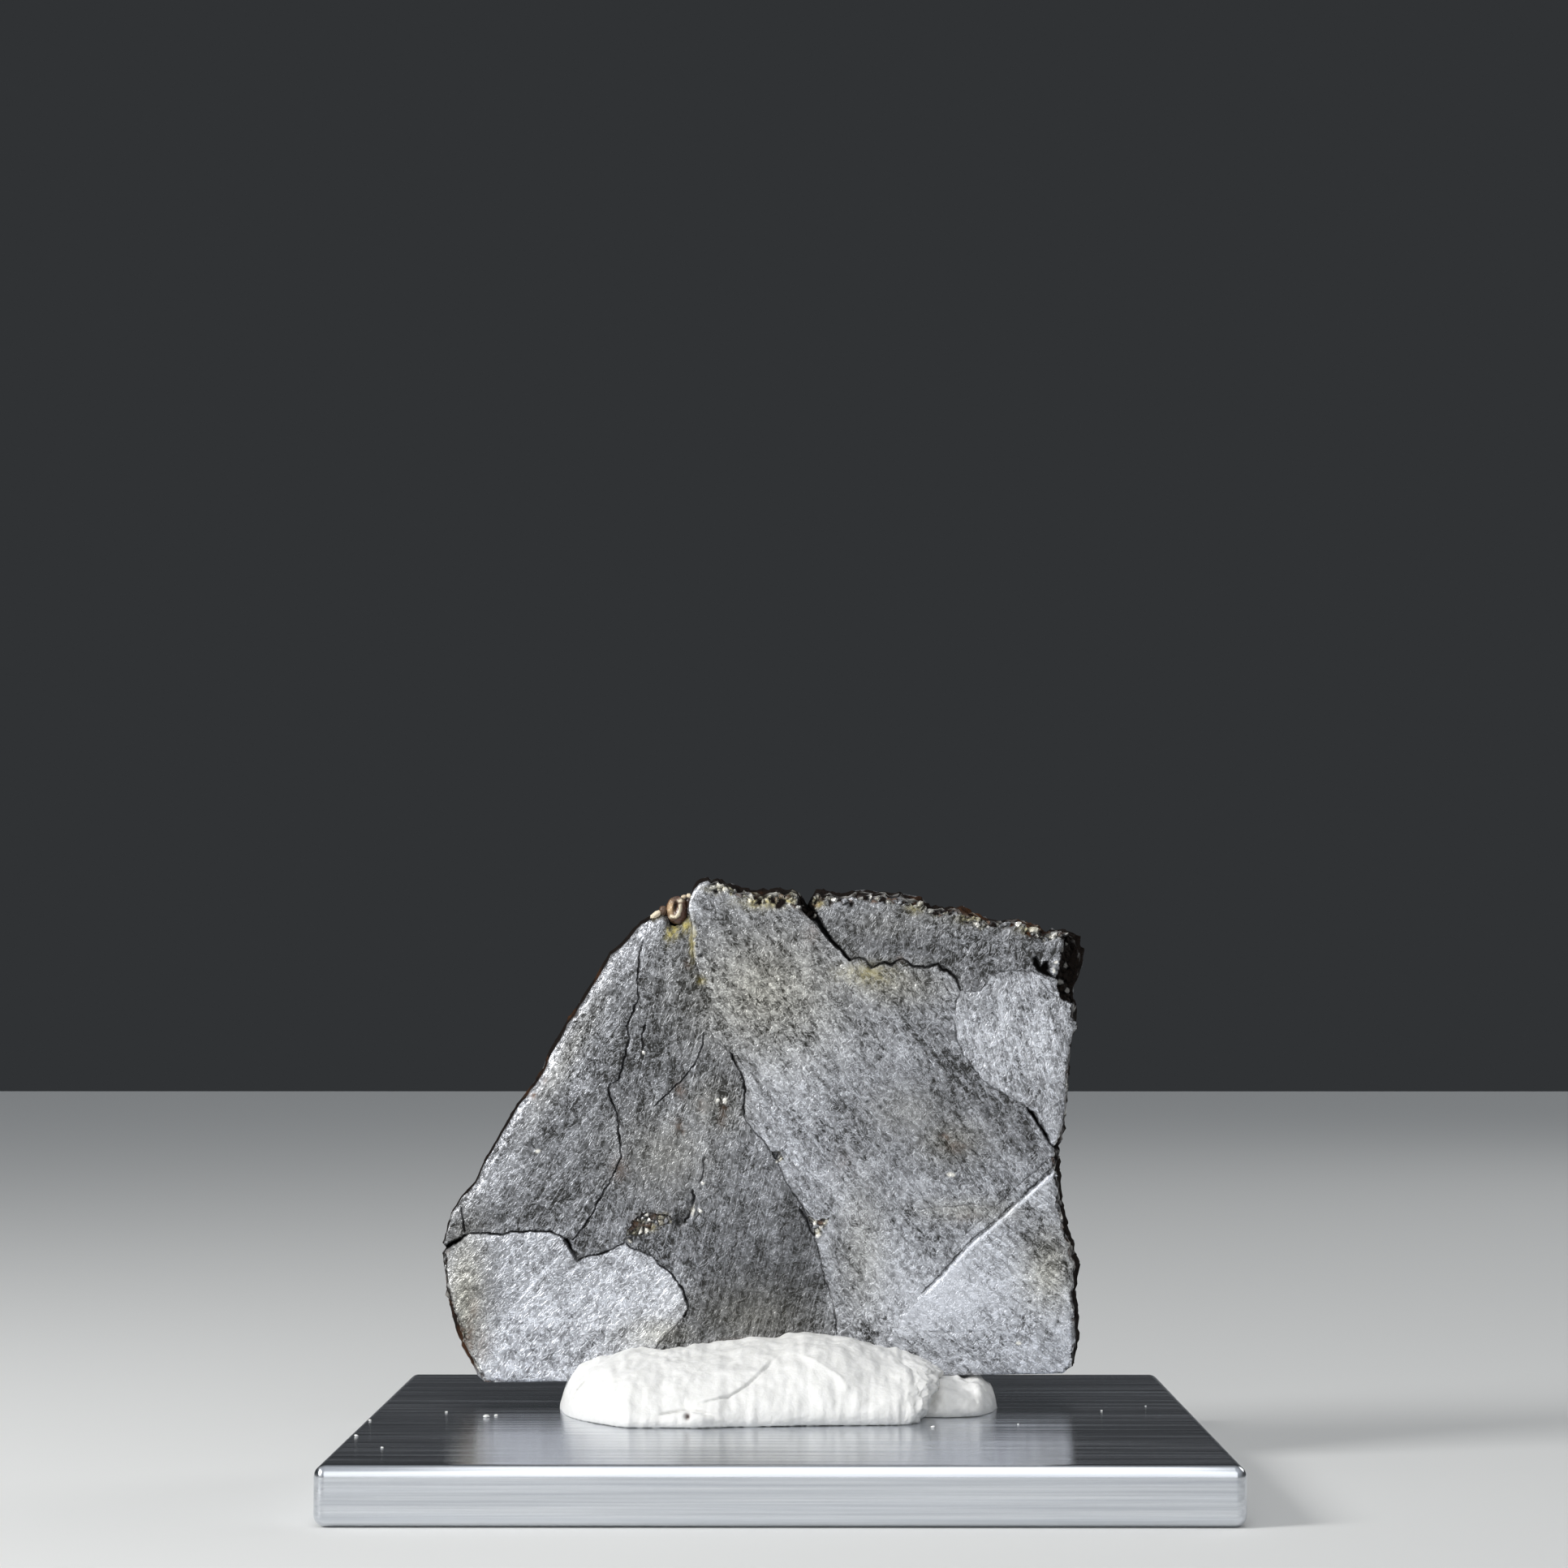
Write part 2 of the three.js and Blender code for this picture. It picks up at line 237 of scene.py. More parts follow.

# %% [markdown]
# ## The cracks and grain edges
# A crack is a line with a width and a depth. Open cracks are deep and dark inside. Plain grain edges are
# shallow grooves, which show only as a fine line with a light and a dark side; along the straight edge the dark
# side is a painted shade and the light side a painted highlight. One list holds them all, so that the same loop
# cuts every one.

# %% Cracks, each with its width and depth in mm
EDGE_OF_LOWER_LEFT = [
    (536, 1540), (549, 1537), (560, 1530), (570, 1525), (578, 1519), (590, 1517), (605, 1518), (620, 1519),
    (632, 1516), (655, 1515), (678, 1515), (690, 1519), (697, 1523), (703, 1533), (708, 1541), (713, 1553),
    (720, 1547), (740, 1543), (752, 1539), (762, 1533), (772, 1528), (777, 1535), (791, 1540), (806, 1547),
    (812, 1556), (822, 1562), (829, 1568), (836, 1579), (842, 1586), (845, 1596), (848, 1607), (843, 1620),
]
FOOT_OF_LOWER_LEFT = [(843, 1620), (836, 1626), (822, 1642), (812, 1652), (804, 1662)]
EDGE_OF_LEFT = [
    (793, 1160), (787, 1178), (786, 1195), (785, 1215), (787, 1230), (783, 1240), (777, 1253), (772, 1265),
    (776, 1280), (771, 1297), (767, 1315), (763, 1330), (752, 1336), (750, 1342), (752, 1352), (757, 1362),
    (761, 1375), (762, 1390), (765, 1410), (765, 1425), (760, 1440), (750, 1457), (740, 1475), (730, 1495),
    (720, 1510), (707, 1525),
]
EDGE_OF_MIDDLE_TOP = [
    (848, 1118), (852, 1135), (853, 1160), (854, 1180), (860, 1195), (864, 1210), (868, 1225),
    (872, 1242), (875, 1268), (881, 1284), (899, 1295), (903, 1304),
]
EDGE_OF_MIDDLE_BEND = [
    (899, 1295), (903, 1304), (907, 1309), (913, 1322), (917, 1335), (918, 1345), (916, 1364), (917, 1376),
]
EDGE_OF_MIDDLE_FOOT = [
    (917, 1376), (923, 1386), (930, 1395), (939, 1402), (948, 1415), (956, 1428), (968, 1454),
    (980, 1473), (991, 1488), (996, 1505), (1002, 1518), (1009, 1540), (1013, 1562), (1019, 1580),
    (1025, 1600), (1029, 1622), (1031, 1645),
]
WEDGE = [(991, 1098), (994, 1118), (1004, 1131), (1013, 1144), (1021, 1156), (1034, 1170), (1047, 1183)]
EDGE_OF_TOP_RIGHT = [
    (1047, 1183), (1058, 1181), (1065, 1183), (1073, 1193), (1080, 1190), (1090, 1186), (1098, 1189),
    (1105, 1184), (1113, 1182), (1122, 1190), (1130, 1192), (1140, 1192), (1150, 1190), (1155, 1188),
    (1160, 1195), (1168, 1197), (1175, 1203), (1180, 1213), (1183, 1221),
]
EDGE_UNDER_TOP_RIGHT = [
    (1183, 1221), (1195, 1223), (1207, 1221), (1215, 1212), (1222, 1202), (1232, 1198), (1245, 1196),
    (1260, 1198), (1272, 1198), (1282, 1203), (1293, 1209), (1300, 1222),
]
EDGE_OF_BRIGHT_RIGHT = [
    (1183, 1221), (1176, 1239), (1176, 1259), (1178, 1281), (1187, 1300), (1199, 1316), (1206, 1327),
    (1218, 1337), (1230, 1344), (1244, 1352), (1256, 1358), (1268, 1368), (1276, 1380),
]
OPEN_CRACK_RIGHT = [(1264, 1364), (1272, 1374), (1280, 1388), (1289, 1402), (1297, 1413), (1306, 1424)]
STRAIGHT_LINE = [(1308, 1431), (1298, 1439), (1239, 1492), (1191, 1534), (1159, 1569), (1136, 1592)]

LOWER_EDGE_OPEN = [(1008, 1538), (1013, 1562), (1019, 1580), (1025, 1600), (1029, 1622), (1031, 1645)]

CRACKS = [
    # path, width, depth, how dark inside, whether it runs through to the back
    (EDGE_OF_LOWER_LEFT[:5], 0.30, 0.60, 1.0, True),
    (EDGE_OF_LOWER_LEFT[4:13], 0.15, 0.35, 0.9, True),
    (EDGE_OF_LOWER_LEFT[12:17], 0.26, 0.45, 0.95, True),
    (EDGE_OF_LOWER_LEFT[16:21], 0.15, 0.30, 0.9, True),
    (EDGE_OF_LOWER_LEFT[20:28], 0.13, 0.25, 0.85, True),
    (EDGE_OF_LOWER_LEFT[27:], 0.20, 0.35, 0.9, True),
    ([(549, 1537), (560, 1530), (571, 1524)], 0.42, 0.80, 1.0, True),
    ([(697, 1523), (703, 1533), (713, 1553)], 0.34, 0.60, 0.95, False),
    (FOOT_OF_LOWER_LEFT, 0.16, 0.05, 0.25, False),
    ([(569, 1485), (572, 1500), (575, 1517)], 0.20, 0.30, 0.9, False),
    (EDGE_OF_LEFT, 0.15, 0.25, 0.85, True),
    ([(795, 1262), (791, 1280), (793, 1294)], 0.15, 0.20, 0.8, False),
    ([(763, 1332), (770, 1350)], 0.12, 0.06, 0.4, False),
    ([(867, 1268), (866, 1285), (862, 1300), (855, 1312), (845, 1325), (835, 1335), (822, 1348), (806, 1362)],
     0.13, 0.20, 0.8, True),
    (EDGE_OF_MIDDLE_TOP, 0.12, 0.06, 0.25, True),
    (EDGE_OF_MIDDLE_BEND, 0.22, 0.30, 0.95, True),
    (EDGE_OF_MIDDLE_FOOT, 0.15, 0.10, 0.6, True),
    (LOWER_EDGE_OPEN, 0.14, 0.12, 0.5, False),
    ([(984, 1488), (993, 1500), (998, 1514), (1003, 1521)], 0.22, 0.30, 0.7, False),
    (EDGE_OF_TOP_RIGHT, 0.26, 0.25, 0.95, True),
    (EDGE_UNDER_TOP_RIGHT, 0.12, 0.05, 0.35, True),
    (EDGE_OF_BRIGHT_RIGHT, 0.12, 0.06, 0.55, True),
    (OPEN_CRACK_RIGHT, 0.30, 0.60, 1.0, True),
    (STRAIGHT_LINE, 0.36, 0.07, 0.0, True),
    # the shaded wall of the straight edge: a thin groove painted dark, a painted shade
    ([(1305, 1429), (1296, 1437), (1237, 1490), (1189, 1532), (1157, 1567), (1134, 1590)],
     0.13, 0.09, 0.85, False),
    ([(1297, 1421), (1268, 1446), (1243, 1468), (1182, 1524)], 0.11, 0.05, 0.6, False),
    ([(868, 1424), (866, 1450), (862, 1457)], 0.14, 0.12, 0.6, False),
    ([(853, 1464), (855, 1474), (852, 1490), (843, 1505)], 0.20, 0.30, 0.9, False),
    ([(1128, 1489), (1150, 1486), (1175, 1485), (1200, 1482), (1229, 1485)], 0.13, 0.05, 0.5, False),
    ([(1127, 1636), (1165, 1638), (1210, 1637)], 0.12, 0.04, 0.3, False),
    ([(1280, 1567), (1297, 1583), (1315, 1598)], 0.13, 0.05, 0.0, False),
    ([(690, 1547), (665, 1572), (640, 1598)], 0.12, 0.04, 0.0, False),
    ([(645, 1382), (657, 1410), (663, 1417)], 0.12, 0.05, 0.6, False),
    ([(960, 1198), (992, 1192), (1025, 1186)], 0.11, 0.04, 0.4, False),
    ([(1178, 1402), (1207, 1424)], 0.11, 0.04, 0.4, False),
    ([(1281, 1206), (1290, 1219), (1299, 1229)], 0.14, 0.08, 0.7, False),
]
HIGHLIGHTS_AND_LIGHT_SCRATCHES = [
    # path, width in mm, how much lighter: painted highlights on polished edges that catch the light, and light
    # scratches
    ([(1310, 1433), (1300, 1441), (1241, 1494), (1193, 1536), (1161, 1571)], 0.30, 0.42),
    ([(1161, 1571), (1140, 1594), (1122, 1612)], 0.16, 0.20),
    ([(1300, 1426), (1250, 1471), (1183, 1531)], 0.50, 0.12),
    ([(690, 1547), (665, 1572), (640, 1598)], 0.12, 0.30),
    ([(1280, 1567), (1297, 1583), (1315, 1598)], 0.12, 0.25),
    ([(800, 1140), (794, 1160), (790, 1198)], 0.16, 0.25),
    ([(850, 1100), (850, 1120), (854, 1140), (856, 1180)], 0.22, 0.28),
    ([(850, 1106), (858, 1094), (872, 1087)], 0.34, 0.30), ([(916, 1318), (931, 1350)], 0.10, 0.22),
    ([(921, 1316), (936, 1346)], 0.10, 0.22), ([(1060, 1322), (1110, 1341)], 0.10, 0.14),
    ([(1057, 1329), (1098, 1345)], 0.10, 0.14), ([(1175, 1402), (1155, 1422), (1137, 1440)], 0.12, 0.16),
    ([(763, 1330), (752, 1334)], 0.18, 0.30), ([(786, 1262), (776, 1290), (770, 1325)], 0.10, 0.10),
    ([(758, 1366), (765, 1395), (769, 1425)], 0.12, 0.16),
    ([(628, 1519), (625, 1550), (622, 1584)], 0.10, 0.10), ([(855, 1475), (852, 1498)], 0.14, 0.40),
    ([(1203, 1277), (1216, 1321)], 0.20, 0.26), ([(1212, 1288), (1227, 1325)], 0.18, 0.20),
    ([(1251, 1273), (1260, 1325)], 0.20, 0.26), ([(1269, 1270), (1277, 1305)], 0.20, 0.24),
    ([(1293, 1255), (1299, 1310)], 0.20, 0.24), ([(1231, 1250), (1238, 1290)], 0.16, 0.18),
    ([(1190, 1297), (1209, 1319), (1232, 1338), (1258, 1351), (1272, 1363), (1283, 1380)], 0.14, 0.16),
    ([(1217, 1362), (1219, 1368), (1224, 1372)], 0.14, 0.20), ([(948, 1130), (958, 1165)], 0.12, 0.14),
    ([(962, 1125), (975, 1150)], 0.12, 0.14),
]
print("cracks:", len(CRACKS), "and bright lines:", len(HIGHLIGHTS_AND_LIGHT_SCRATCHES))

# %% The open wedge: half its width in mm at shares of its length, and how deep and dark it is
WEDGE_SHARES = (0.0, 0.3, 0.5, 0.7, 1.0)
WEDGE_HALF_WIDTHS = (0.62, 0.36, 0.23, 0.17, 0.10)
WEDGE_DEPTH = 1.3
WEDGE_DARK = 0.95
# Broken stuff fills this share of it, from the top
WEDGE_PLUG = 0.35

# %% [markdown]
# ## Measuring near lines and inside fields
# Five small measures shape the whole face: how far a point is from a line, whether it lies inside a field,
# a smooth unevenness that stands for how nature wears an edge, packed crumbs, and a soft spot. They take
# all points at once, because a loop over each corner for each line would be slow.

# %% Lines and fields
def near_path(where, path):
    """For each point: distance to the line, how far along it the nearest place is (0 to 1), and the side."""
    nearest = np.full(len(where), 1e9)
    along = np.zeros(len(where))
    side = np.ones(len(where))
    total = np.hypot(*np.diff(path, axis=0).T).sum()
    run = 0.0
    for start, end in zip(path[:-1], path[1:]):
        stretch = end - start
        length = np.hypot(*stretch)
        share = np.clip((where - start) @ stretch / length ** 2, 0, 1)
        gap = where - start - share[:, None] * stretch
        distance = np.hypot(gap[:, 0], gap[:, 1])
        closer = distance < nearest
        nearest[closer] = distance[closer]
        along[closer] = (run + share[closer] * length) / total
        side[closer] = np.sign(stretch[0] * gap[closer, 1] - stretch[1] * gap[closer, 0])
        run += length
    return nearest, along, side


def inside(where, field):
    """Whether each point lies inside a closed field."""
    x, z = where.T
    within = np.zeros(len(where), bool)
    for (x0, z0), (x1, z1) in zip(field, np.roll(field, -1, axis=0)):
        spans = (z0 > z) != (z1 > z)
        height = z1 - z0 if z1 != z0 else 1.0
        within ^= spans & (x < x0 + (z - z0) * (x1 - x0) / height)
    return within


# %% Unevenness, crumbs and soft spots
CRUMB_JOINT = 0.35


def uneven(where, size, seed, octaves=3):
    """A smooth unevenness around 0, within about 1, with lumps of the given size in mm."""
    shift = Vector((seed * 7.3, seed * 3.1, seed * 5.7))
    return np.array([noise.fractal(Vector(p) / size + shift, 1.0, 2.0, octaves) for p in where])


def crumbs(where, size, seed):
    """Packed crumbs of a size in mm: 0 at their joints to 1 inside, and each crumb's own number, 0 to 1."""
    shift = Vector((seed * 7.3, seed * 3.1, seed * 5.7))
    inner, number = np.zeros(len(where)), np.zeros(len(where))
    for i, p in enumerate(where):
        distances, middles = noise.voronoi(Vector(p) / size + shift)
        inner[i] = min(1.0, (distances[1] - distances[0]) / CRUMB_JOINT)
        number[i] = 0.5 + 0.5 * noise.cell(middles[0] * 13.7)
    return inner, number


def blob(where, place, radii, turn=0.0):
    """A soft spot: 1 in its middle, falling to about 0 at twice its radii. turn is in degrees."""
    centre = traced([place])[0]
    away = (where - centre) / MM_PER_UNIT
    c, s = math.cos(math.radians(turn)), math.sin(math.radians(turn))
    along = (away[:, 0] * c + away[:, 1] * s) / radii[0]
    across = (away[:, 1] * c - away[:, 0] * s) / radii[1]
    return np.exp(-(along ** 2 + across ** 2))


# %% [markdown]
# ## Pits, chips and the rim
# The rim is the meteorite's own weathered skin, left on where the saw didn't reach. It is rough, and a little
# wider at the back of the slice than at the front, so a thin band of it shows beside the face. The lapped
# face is chamfered along the upper left edge, where it catches the light as a bright line.

# %% Pits and the broken corner
PITS = [
    # place, radii, depth in mm
    ((863, 1177), (3, 2), 0.30), ((863, 1208), (3, 3), 0.22), ((850, 1485), (3, 8), 0.20),
    ((838, 1503), (5, 6), 0.25), ((957, 1422), (5, 4), 0.22), ((840, 1394), (3, 3), 0.15),
    ((720, 1668), (3, 3), 0.15), ((1068, 1357), (3, 2), 0.12), ((1085, 1363), (3, 2), 0.12),
    ((1218, 1368), (3, 6), 0.14), ((1160, 1398), (4, 3), 0.12), ((1068, 1418), (3, 3), 0.10),
    ((1090, 1468), (3, 4), 0.10), ((895, 1364), (3, 3), 0.10), ((1292, 1152), (4, 5), 0.30),
    ((1285, 1149), (4, 5), 0.45),
]
GLINTS = [
    # place, radii and height of bright crumbs of metal that stand proud, each with a painted glint
    ((1004, 1504), (4, 4), 0.14), ((854, 1490), (2.6, 8), 0.14), ((862, 1490), (3, 3), 0.10),
    ((794, 1297), (2.4, 2.4), 0.10), ((1014, 1506), (3, 3), 0.10), ((1007, 1519), (3, 4), 0.10),
    ((664, 1417), (4, 3), 0.06), ((1296, 1154), (3, 2.4), 0.12), ((1306, 1152), (4, 1.6), 0.10),
    ((1297, 1196), (2.6, 3), 0.16), ((1300, 1186), (3, 2), 0.18), ((867, 1457), (3, 2), 0.08),
    ((893, 1356), (3, 4), 0.07), ((884, 1356), (3, 3), 0.06), ((1004, 1128), (2.4, 3), 0.10),
    ((1170, 1446), (5, 3), 0.05), ((1252, 1651), (4, 3), 0.06),
]
# the broken corner: its black crust is its rind and also a painted shade for its deep hollow
BROKEN_CORNER = [
    (1313, 1148), (1311, 1158), (1307, 1170), (1304, 1182), (1304, 1190), (1302, 1199), (1299, 1206),
    (1302, 1214), (1301, 1222), (1304, 1230), (1314, 1237), (1323, 1241),
]
BROKEN_CORNER_SLOPE = 1.9
BROKEN_CORNER_FIELD = [*BROKEN_CORNER, (1360, 1241), (1360, 1148)]
BLACK_HOLLOW = [
    (1271, 1180), (1277, 1179), (1279, 1184), (1281, 1190), (1284, 1185), (1291, 1184), (1292, 1190),
    (1291, 1196), (1295, 1201), (1301, 1206), (1293, 1205), (1284, 1201), (1277, 1197), (1273, 1191),
]
BLACK_HOLLOW_DEPTH = 0.7
print("pits:", len(PITS), "and glints:", len(GLINTS))

# %% Stretches of the face that broke into crumbs: outline and depth in mm
CRUMB = 0.42
CRUMBLED_FIELDS = [
    ([(772, 1521), (779, 1506), (786, 1497), (798, 1492), (812, 1494), (828, 1497), (828, 1506), (816, 1508),
      (806, 1512), (797, 1517), (786, 1521), (777, 1530)], 0.13),
    ([(994, 1497), (1006, 1502), (1019, 1499), (1018, 1507), (1011, 1513), (1010, 1522), (1003, 1520)], 0.12),
    ([(950, 1419), (960, 1417), (965, 1428), (957, 1432)], 0.10),
]

# %% Flare of the rim: place, radii, and how much wider the back is there, in mm
FLARE_EVERYWHERE = 0.42
FLARE_BLOBS = [
    ((575, 1665), (60, 60), 0, 0.55), ((1320, 1600), (60, 90), 0, 0.30), ((1300, 1430), (40, 40), 0, 0.12),
    ((1318, 1310), (30, 70), 0, -0.34), ((1100, 1100), (240, 30), 0, 0.15), ((560, 1500), (40, 60), 0, -0.10),
]

# %% The chamfer along the upper left edge, and how wide edges are rounded, in mm
CHAMFER_LINE = [(575, 1470), (600, 1432), (660, 1340), (742, 1198), (790, 1144), (815, 1130)]
CHAMFER = 0.42
SOFT_EDGE = 0.13

# %% Crumbly stretches of the rim, and where its crust is rusty
CRUMBLY_EDGES = [
    # path, how crumbly, how far the crumbs reach into the face in mm
    ([(896, 1094), (910, 1100), (940, 1104), (990, 1106)], 1.0, 0.70),
    ([(1003, 1106), (1120, 1108), (1230, 1136), (1330, 1165)], 1.0, 0.42),
    ([(1331, 1165), (1331, 1200), (1320, 1235), (1320, 1300), (1308, 1390)], 0.5, 0.14),
    ([(1297, 1412), (1302, 1480), (1321, 1559), (1318, 1680)], 0.7, 0.15),
    ([(549, 1560), (562, 1612), (590, 1680), (600, 1699)], 0.5, 0.20),
]
RUDDY_BLOBS = [
    # where the crust is rusty brown, not black
    ((575, 1665), (30, 50), 0, 1.0), ((560, 1570), (20, 50), 0, 0.6), ((735, 1205), (14, 16), 0, 0.7),
    ((705, 1248), (14, 16), 0, 0.7), ((668, 1310), (16, 20), 0, 0.8), ((650, 1345), (12, 14), 0, 0.8),
    ((1190, 1128), (24, 14), 0, 0.9), ((1265, 1146), (26, 12), 0, 1.0), ((925, 1100), (34, 12), 0, 0.5),
    ((1130, 1110), (14, 12), 0, 0.6), ((824, 1122), (26, 20), 0, 0.8), ((1050, 1106), (20, 10), 0, 0.3),
]

# %% [markdown]
# ## Building the slice's mesh
# The face starts as one many-sided face on the outline. Planes cut it into a coarse net, and edges near
# cracks and near the rim are halved until they are short enough for the detail there. That keeps the flat
# middle light. Only then is the net extruded to the slice's thickness, so front and back share it.

# %% Face, net and refinement
NET = 1.0
COARSE = 0.55
SHARED_FINE = 0.24
FRONT_FINE = 0.075
SHARED_ROUNDS = 5
FRONT_ROUNDS = 4

rim_path = np.vstack([outline, outline[:1]])
crack_paths = [traced(crack[0]) for crack in CRACKS]
wedge_path = traced(WEDGE)
fine_lines = [(line[0], line[1]) for line in CRACKS + HIGHLIGHTS_AND_LIGHT_SCRATCHES] + [(WEDGE, 0.8), (BROKEN_CORNER, 1.4)]
fine_lines += [(field, 0.9) for field, _ in CRUMBLED_FIELDS] + [(BLACK_HOLLOW, 0.7)]
for (x, row), (across, tall), _ in PITS + GLINTS:
    fine_lines.append(([(x - across, row), (x + across, row)], 2.4 * tall * MM_PER_UNIT))
fine_lines = [(traced(path), width) for path, width in fine_lines]
print("lines that need a fine mesh:", len(fine_lines))


# %% Cutting and refining
def wanted_length(where, fine):
    """How long an edge may be at each point, in mm: fine at a crack, a little more at the rim."""
    wanted = np.full(len(where), COARSE)
    for path, width in fine_lines:
        distance = near_path(where, path)[0]
        wanted = np.minimum(wanted, fine + 0.7 * np.maximum(0, distance - width / 2 - 0.05))
    distance = near_path(where, rim_path)[0]
    return np.minimum(wanted, 1.5 * fine + 0.5 * np.maximum(0, distance - 0.45))


def cut_by_planes(shape, low, high, step, normal):
    """Cuts a mesh by parallel planes between two distances along the normal."""
    count = int((high - low) / step)
    for i in range(count + 1):
        geometry = shape.verts[:] + shape.edges[:] + shape.faces[:]
        bmesh.ops.bisect_plane(shape, geom=geometry, dist=1e-5,
                               plane_co=Vector(normal) * (low + i * step), plane_no=normal)


def refine(shape, rounds, fine):
    """Halves every edge of the front face that is longer than wanted, and closes corners with triangles."""
    bmesh.ops.triangulate(shape, faces=[f for f in shape.faces if len(f.verts) > 3])
    for _ in range(rounds):
        edges = [e for e in shape.edges if e.verts[0].co.y < 1e-6 and e.verts[1].co.y < 1e-6]
        ends = np.array([(*e.verts[0].co.xz, *e.verts[1].co.xz) for e in edges])
        lengths = np.hypot(ends[:, 0] - ends[:, 2], ends[:, 1] - ends[:, 3])
        wanted = wanted_length((ends[:, :2] + ends[:, 2:]) / 2, fine)
        long_edges = [edges[i] for i in np.flatnonzero(lengths > 1.4 * wanted)]
        if not long_edges:
            break
        bmesh.ops.subdivide_edges(shape, edges=long_edges, cuts=1)
        bmesh.ops.triangulate(shape, faces=[f for f in shape.faces if len(f.verts) > 3])


# %% The shared face
slice_shape = bmesh.new()
corners = [slice_shape.verts.new((x, 0, z)) for x, z in outline]
slice_shape.faces.new(corners)
cut_by_planes(slice_shape, outline[:, 0].min() + 0.31, outline[:, 0].max(), NET, (1, 0, 0))
cut_by_planes(slice_shape, outline[:, 1].min() + 0.37, outline[:, 1].max(), NET, (0, 0, 1))
refine(slice_shape, SHARED_ROUNDS, SHARED_FINE)
print("back face:", len(slice_shape.faces), "triangles")

# %% Thickness
RIM_STEP = 0.28

back = bmesh.ops.extrude_face_region(slice_shape, geom=slice_shape.faces[:], use_keep_orig=True)
back_corners = [v for v in back["geom"] if isinstance(v, bmesh.types.BMVert)]
bmesh.ops.translate(slice_shape, verts=back_corners, vec=(0, THICKNESS, 0))
cut_by_planes(slice_shape, RIM_STEP / 2, THICKNESS, RIM_STEP, (0, 1, 0))
refine(slice_shape, FRONT_ROUNDS, FRONT_FINE)
bmesh.ops.recalc_face_normals(slice_shape, faces=slice_shape.faces[:])
print("slice:", len(slice_shape.faces), "triangles")

# %% [markdown]
# ## The grains
# Each grain is one crystal, cut at its own angle, so the same light gives each its own grey and its own run
# of fine scratches. That grey is laid into the colour as a painted sheen, the same from every side. A field is
# the stretch of face between grain edges. Its tone, the painted sheen, runs from 0, dark, to 1, light, and its
# streak is the angle of its scratches above the horizontal. A few soft blobs add the slow shading that the
# eye sees inside one grain, as painted shading.

# %% Fields of grain: outline, tone (a painted sheen), streak angle in degrees, level in mm behind the face, how scratched
OUTSIDE_LEFT, OUTSIDE_RIGHT, OUTSIDE_TOP, OUTSIDE_FOOT = 400, 1480, 1000, 1800
GRAINS = [
    ([(OUTSIDE_LEFT, OUTSIDE_TOP), (798, OUTSIDE_TOP), (798, 1140), *EDGE_OF_LEFT, (700, 1524),
      *EDGE_OF_LOWER_LEFT[12::-1], (OUTSIDE_LEFT, 1540)], 0.255, 58, 0.02, 0.8),
    ([(OUTSIDE_LEFT, 1540), *EDGE_OF_LOWER_LEFT, *FOOT_OF_LOWER_LEFT, (790, OUTSIDE_FOOT),
      (OUTSIDE_LEFT, OUTSIDE_FOOT)], 0.655, 48, 0.00, 0.7),
    ([(852, OUTSIDE_TOP), *EDGE_OF_MIDDLE_TOP, *EDGE_OF_MIDDLE_BEND[2:], *EDGE_OF_MIDDLE_FOOT[1:],
      (1035, OUTSIDE_FOOT), (OUTSIDE_RIGHT, OUTSIDE_FOOT), (OUTSIDE_RIGHT, OUTSIDE_TOP)],
     0.405, -52, 0.00, 0.6),
    ([(991, OUTSIDE_TOP), *WEDGE, *EDGE_OF_TOP_RIGHT[1:], *EDGE_UNDER_TOP_RIGHT[1:], (OUTSIDE_RIGHT, 1235),
      (OUTSIDE_RIGHT, OUTSIDE_TOP)], 0.225, 70, 0.03, 0.1),
    ([*EDGE_UNDER_TOP_RIGHT, (OUTSIDE_RIGHT, 1235), (OUTSIDE_RIGHT, 1424), *OPEN_CRACK_RIGHT[:0:-1],
      *EDGE_OF_BRIGHT_RIGHT[:0:-1]], 0.55, -76, 0.00, 0.8),
    ([*STRAIGHT_LINE, (1080, 1650), (1080, OUTSIDE_FOOT), (OUTSIDE_RIGHT, OUTSIDE_FOOT),
      (OUTSIDE_RIGHT, 1431)], 0.67, -38, 0.00, 0.7),
]
MIDDLE_GRAIN = (0.25, 76, 0.05, 0.8)
UNSCRATCHED = ((900, 1150), (160, 80), 0, 0.6)
print("grains:", len(GRAINS) + 1)
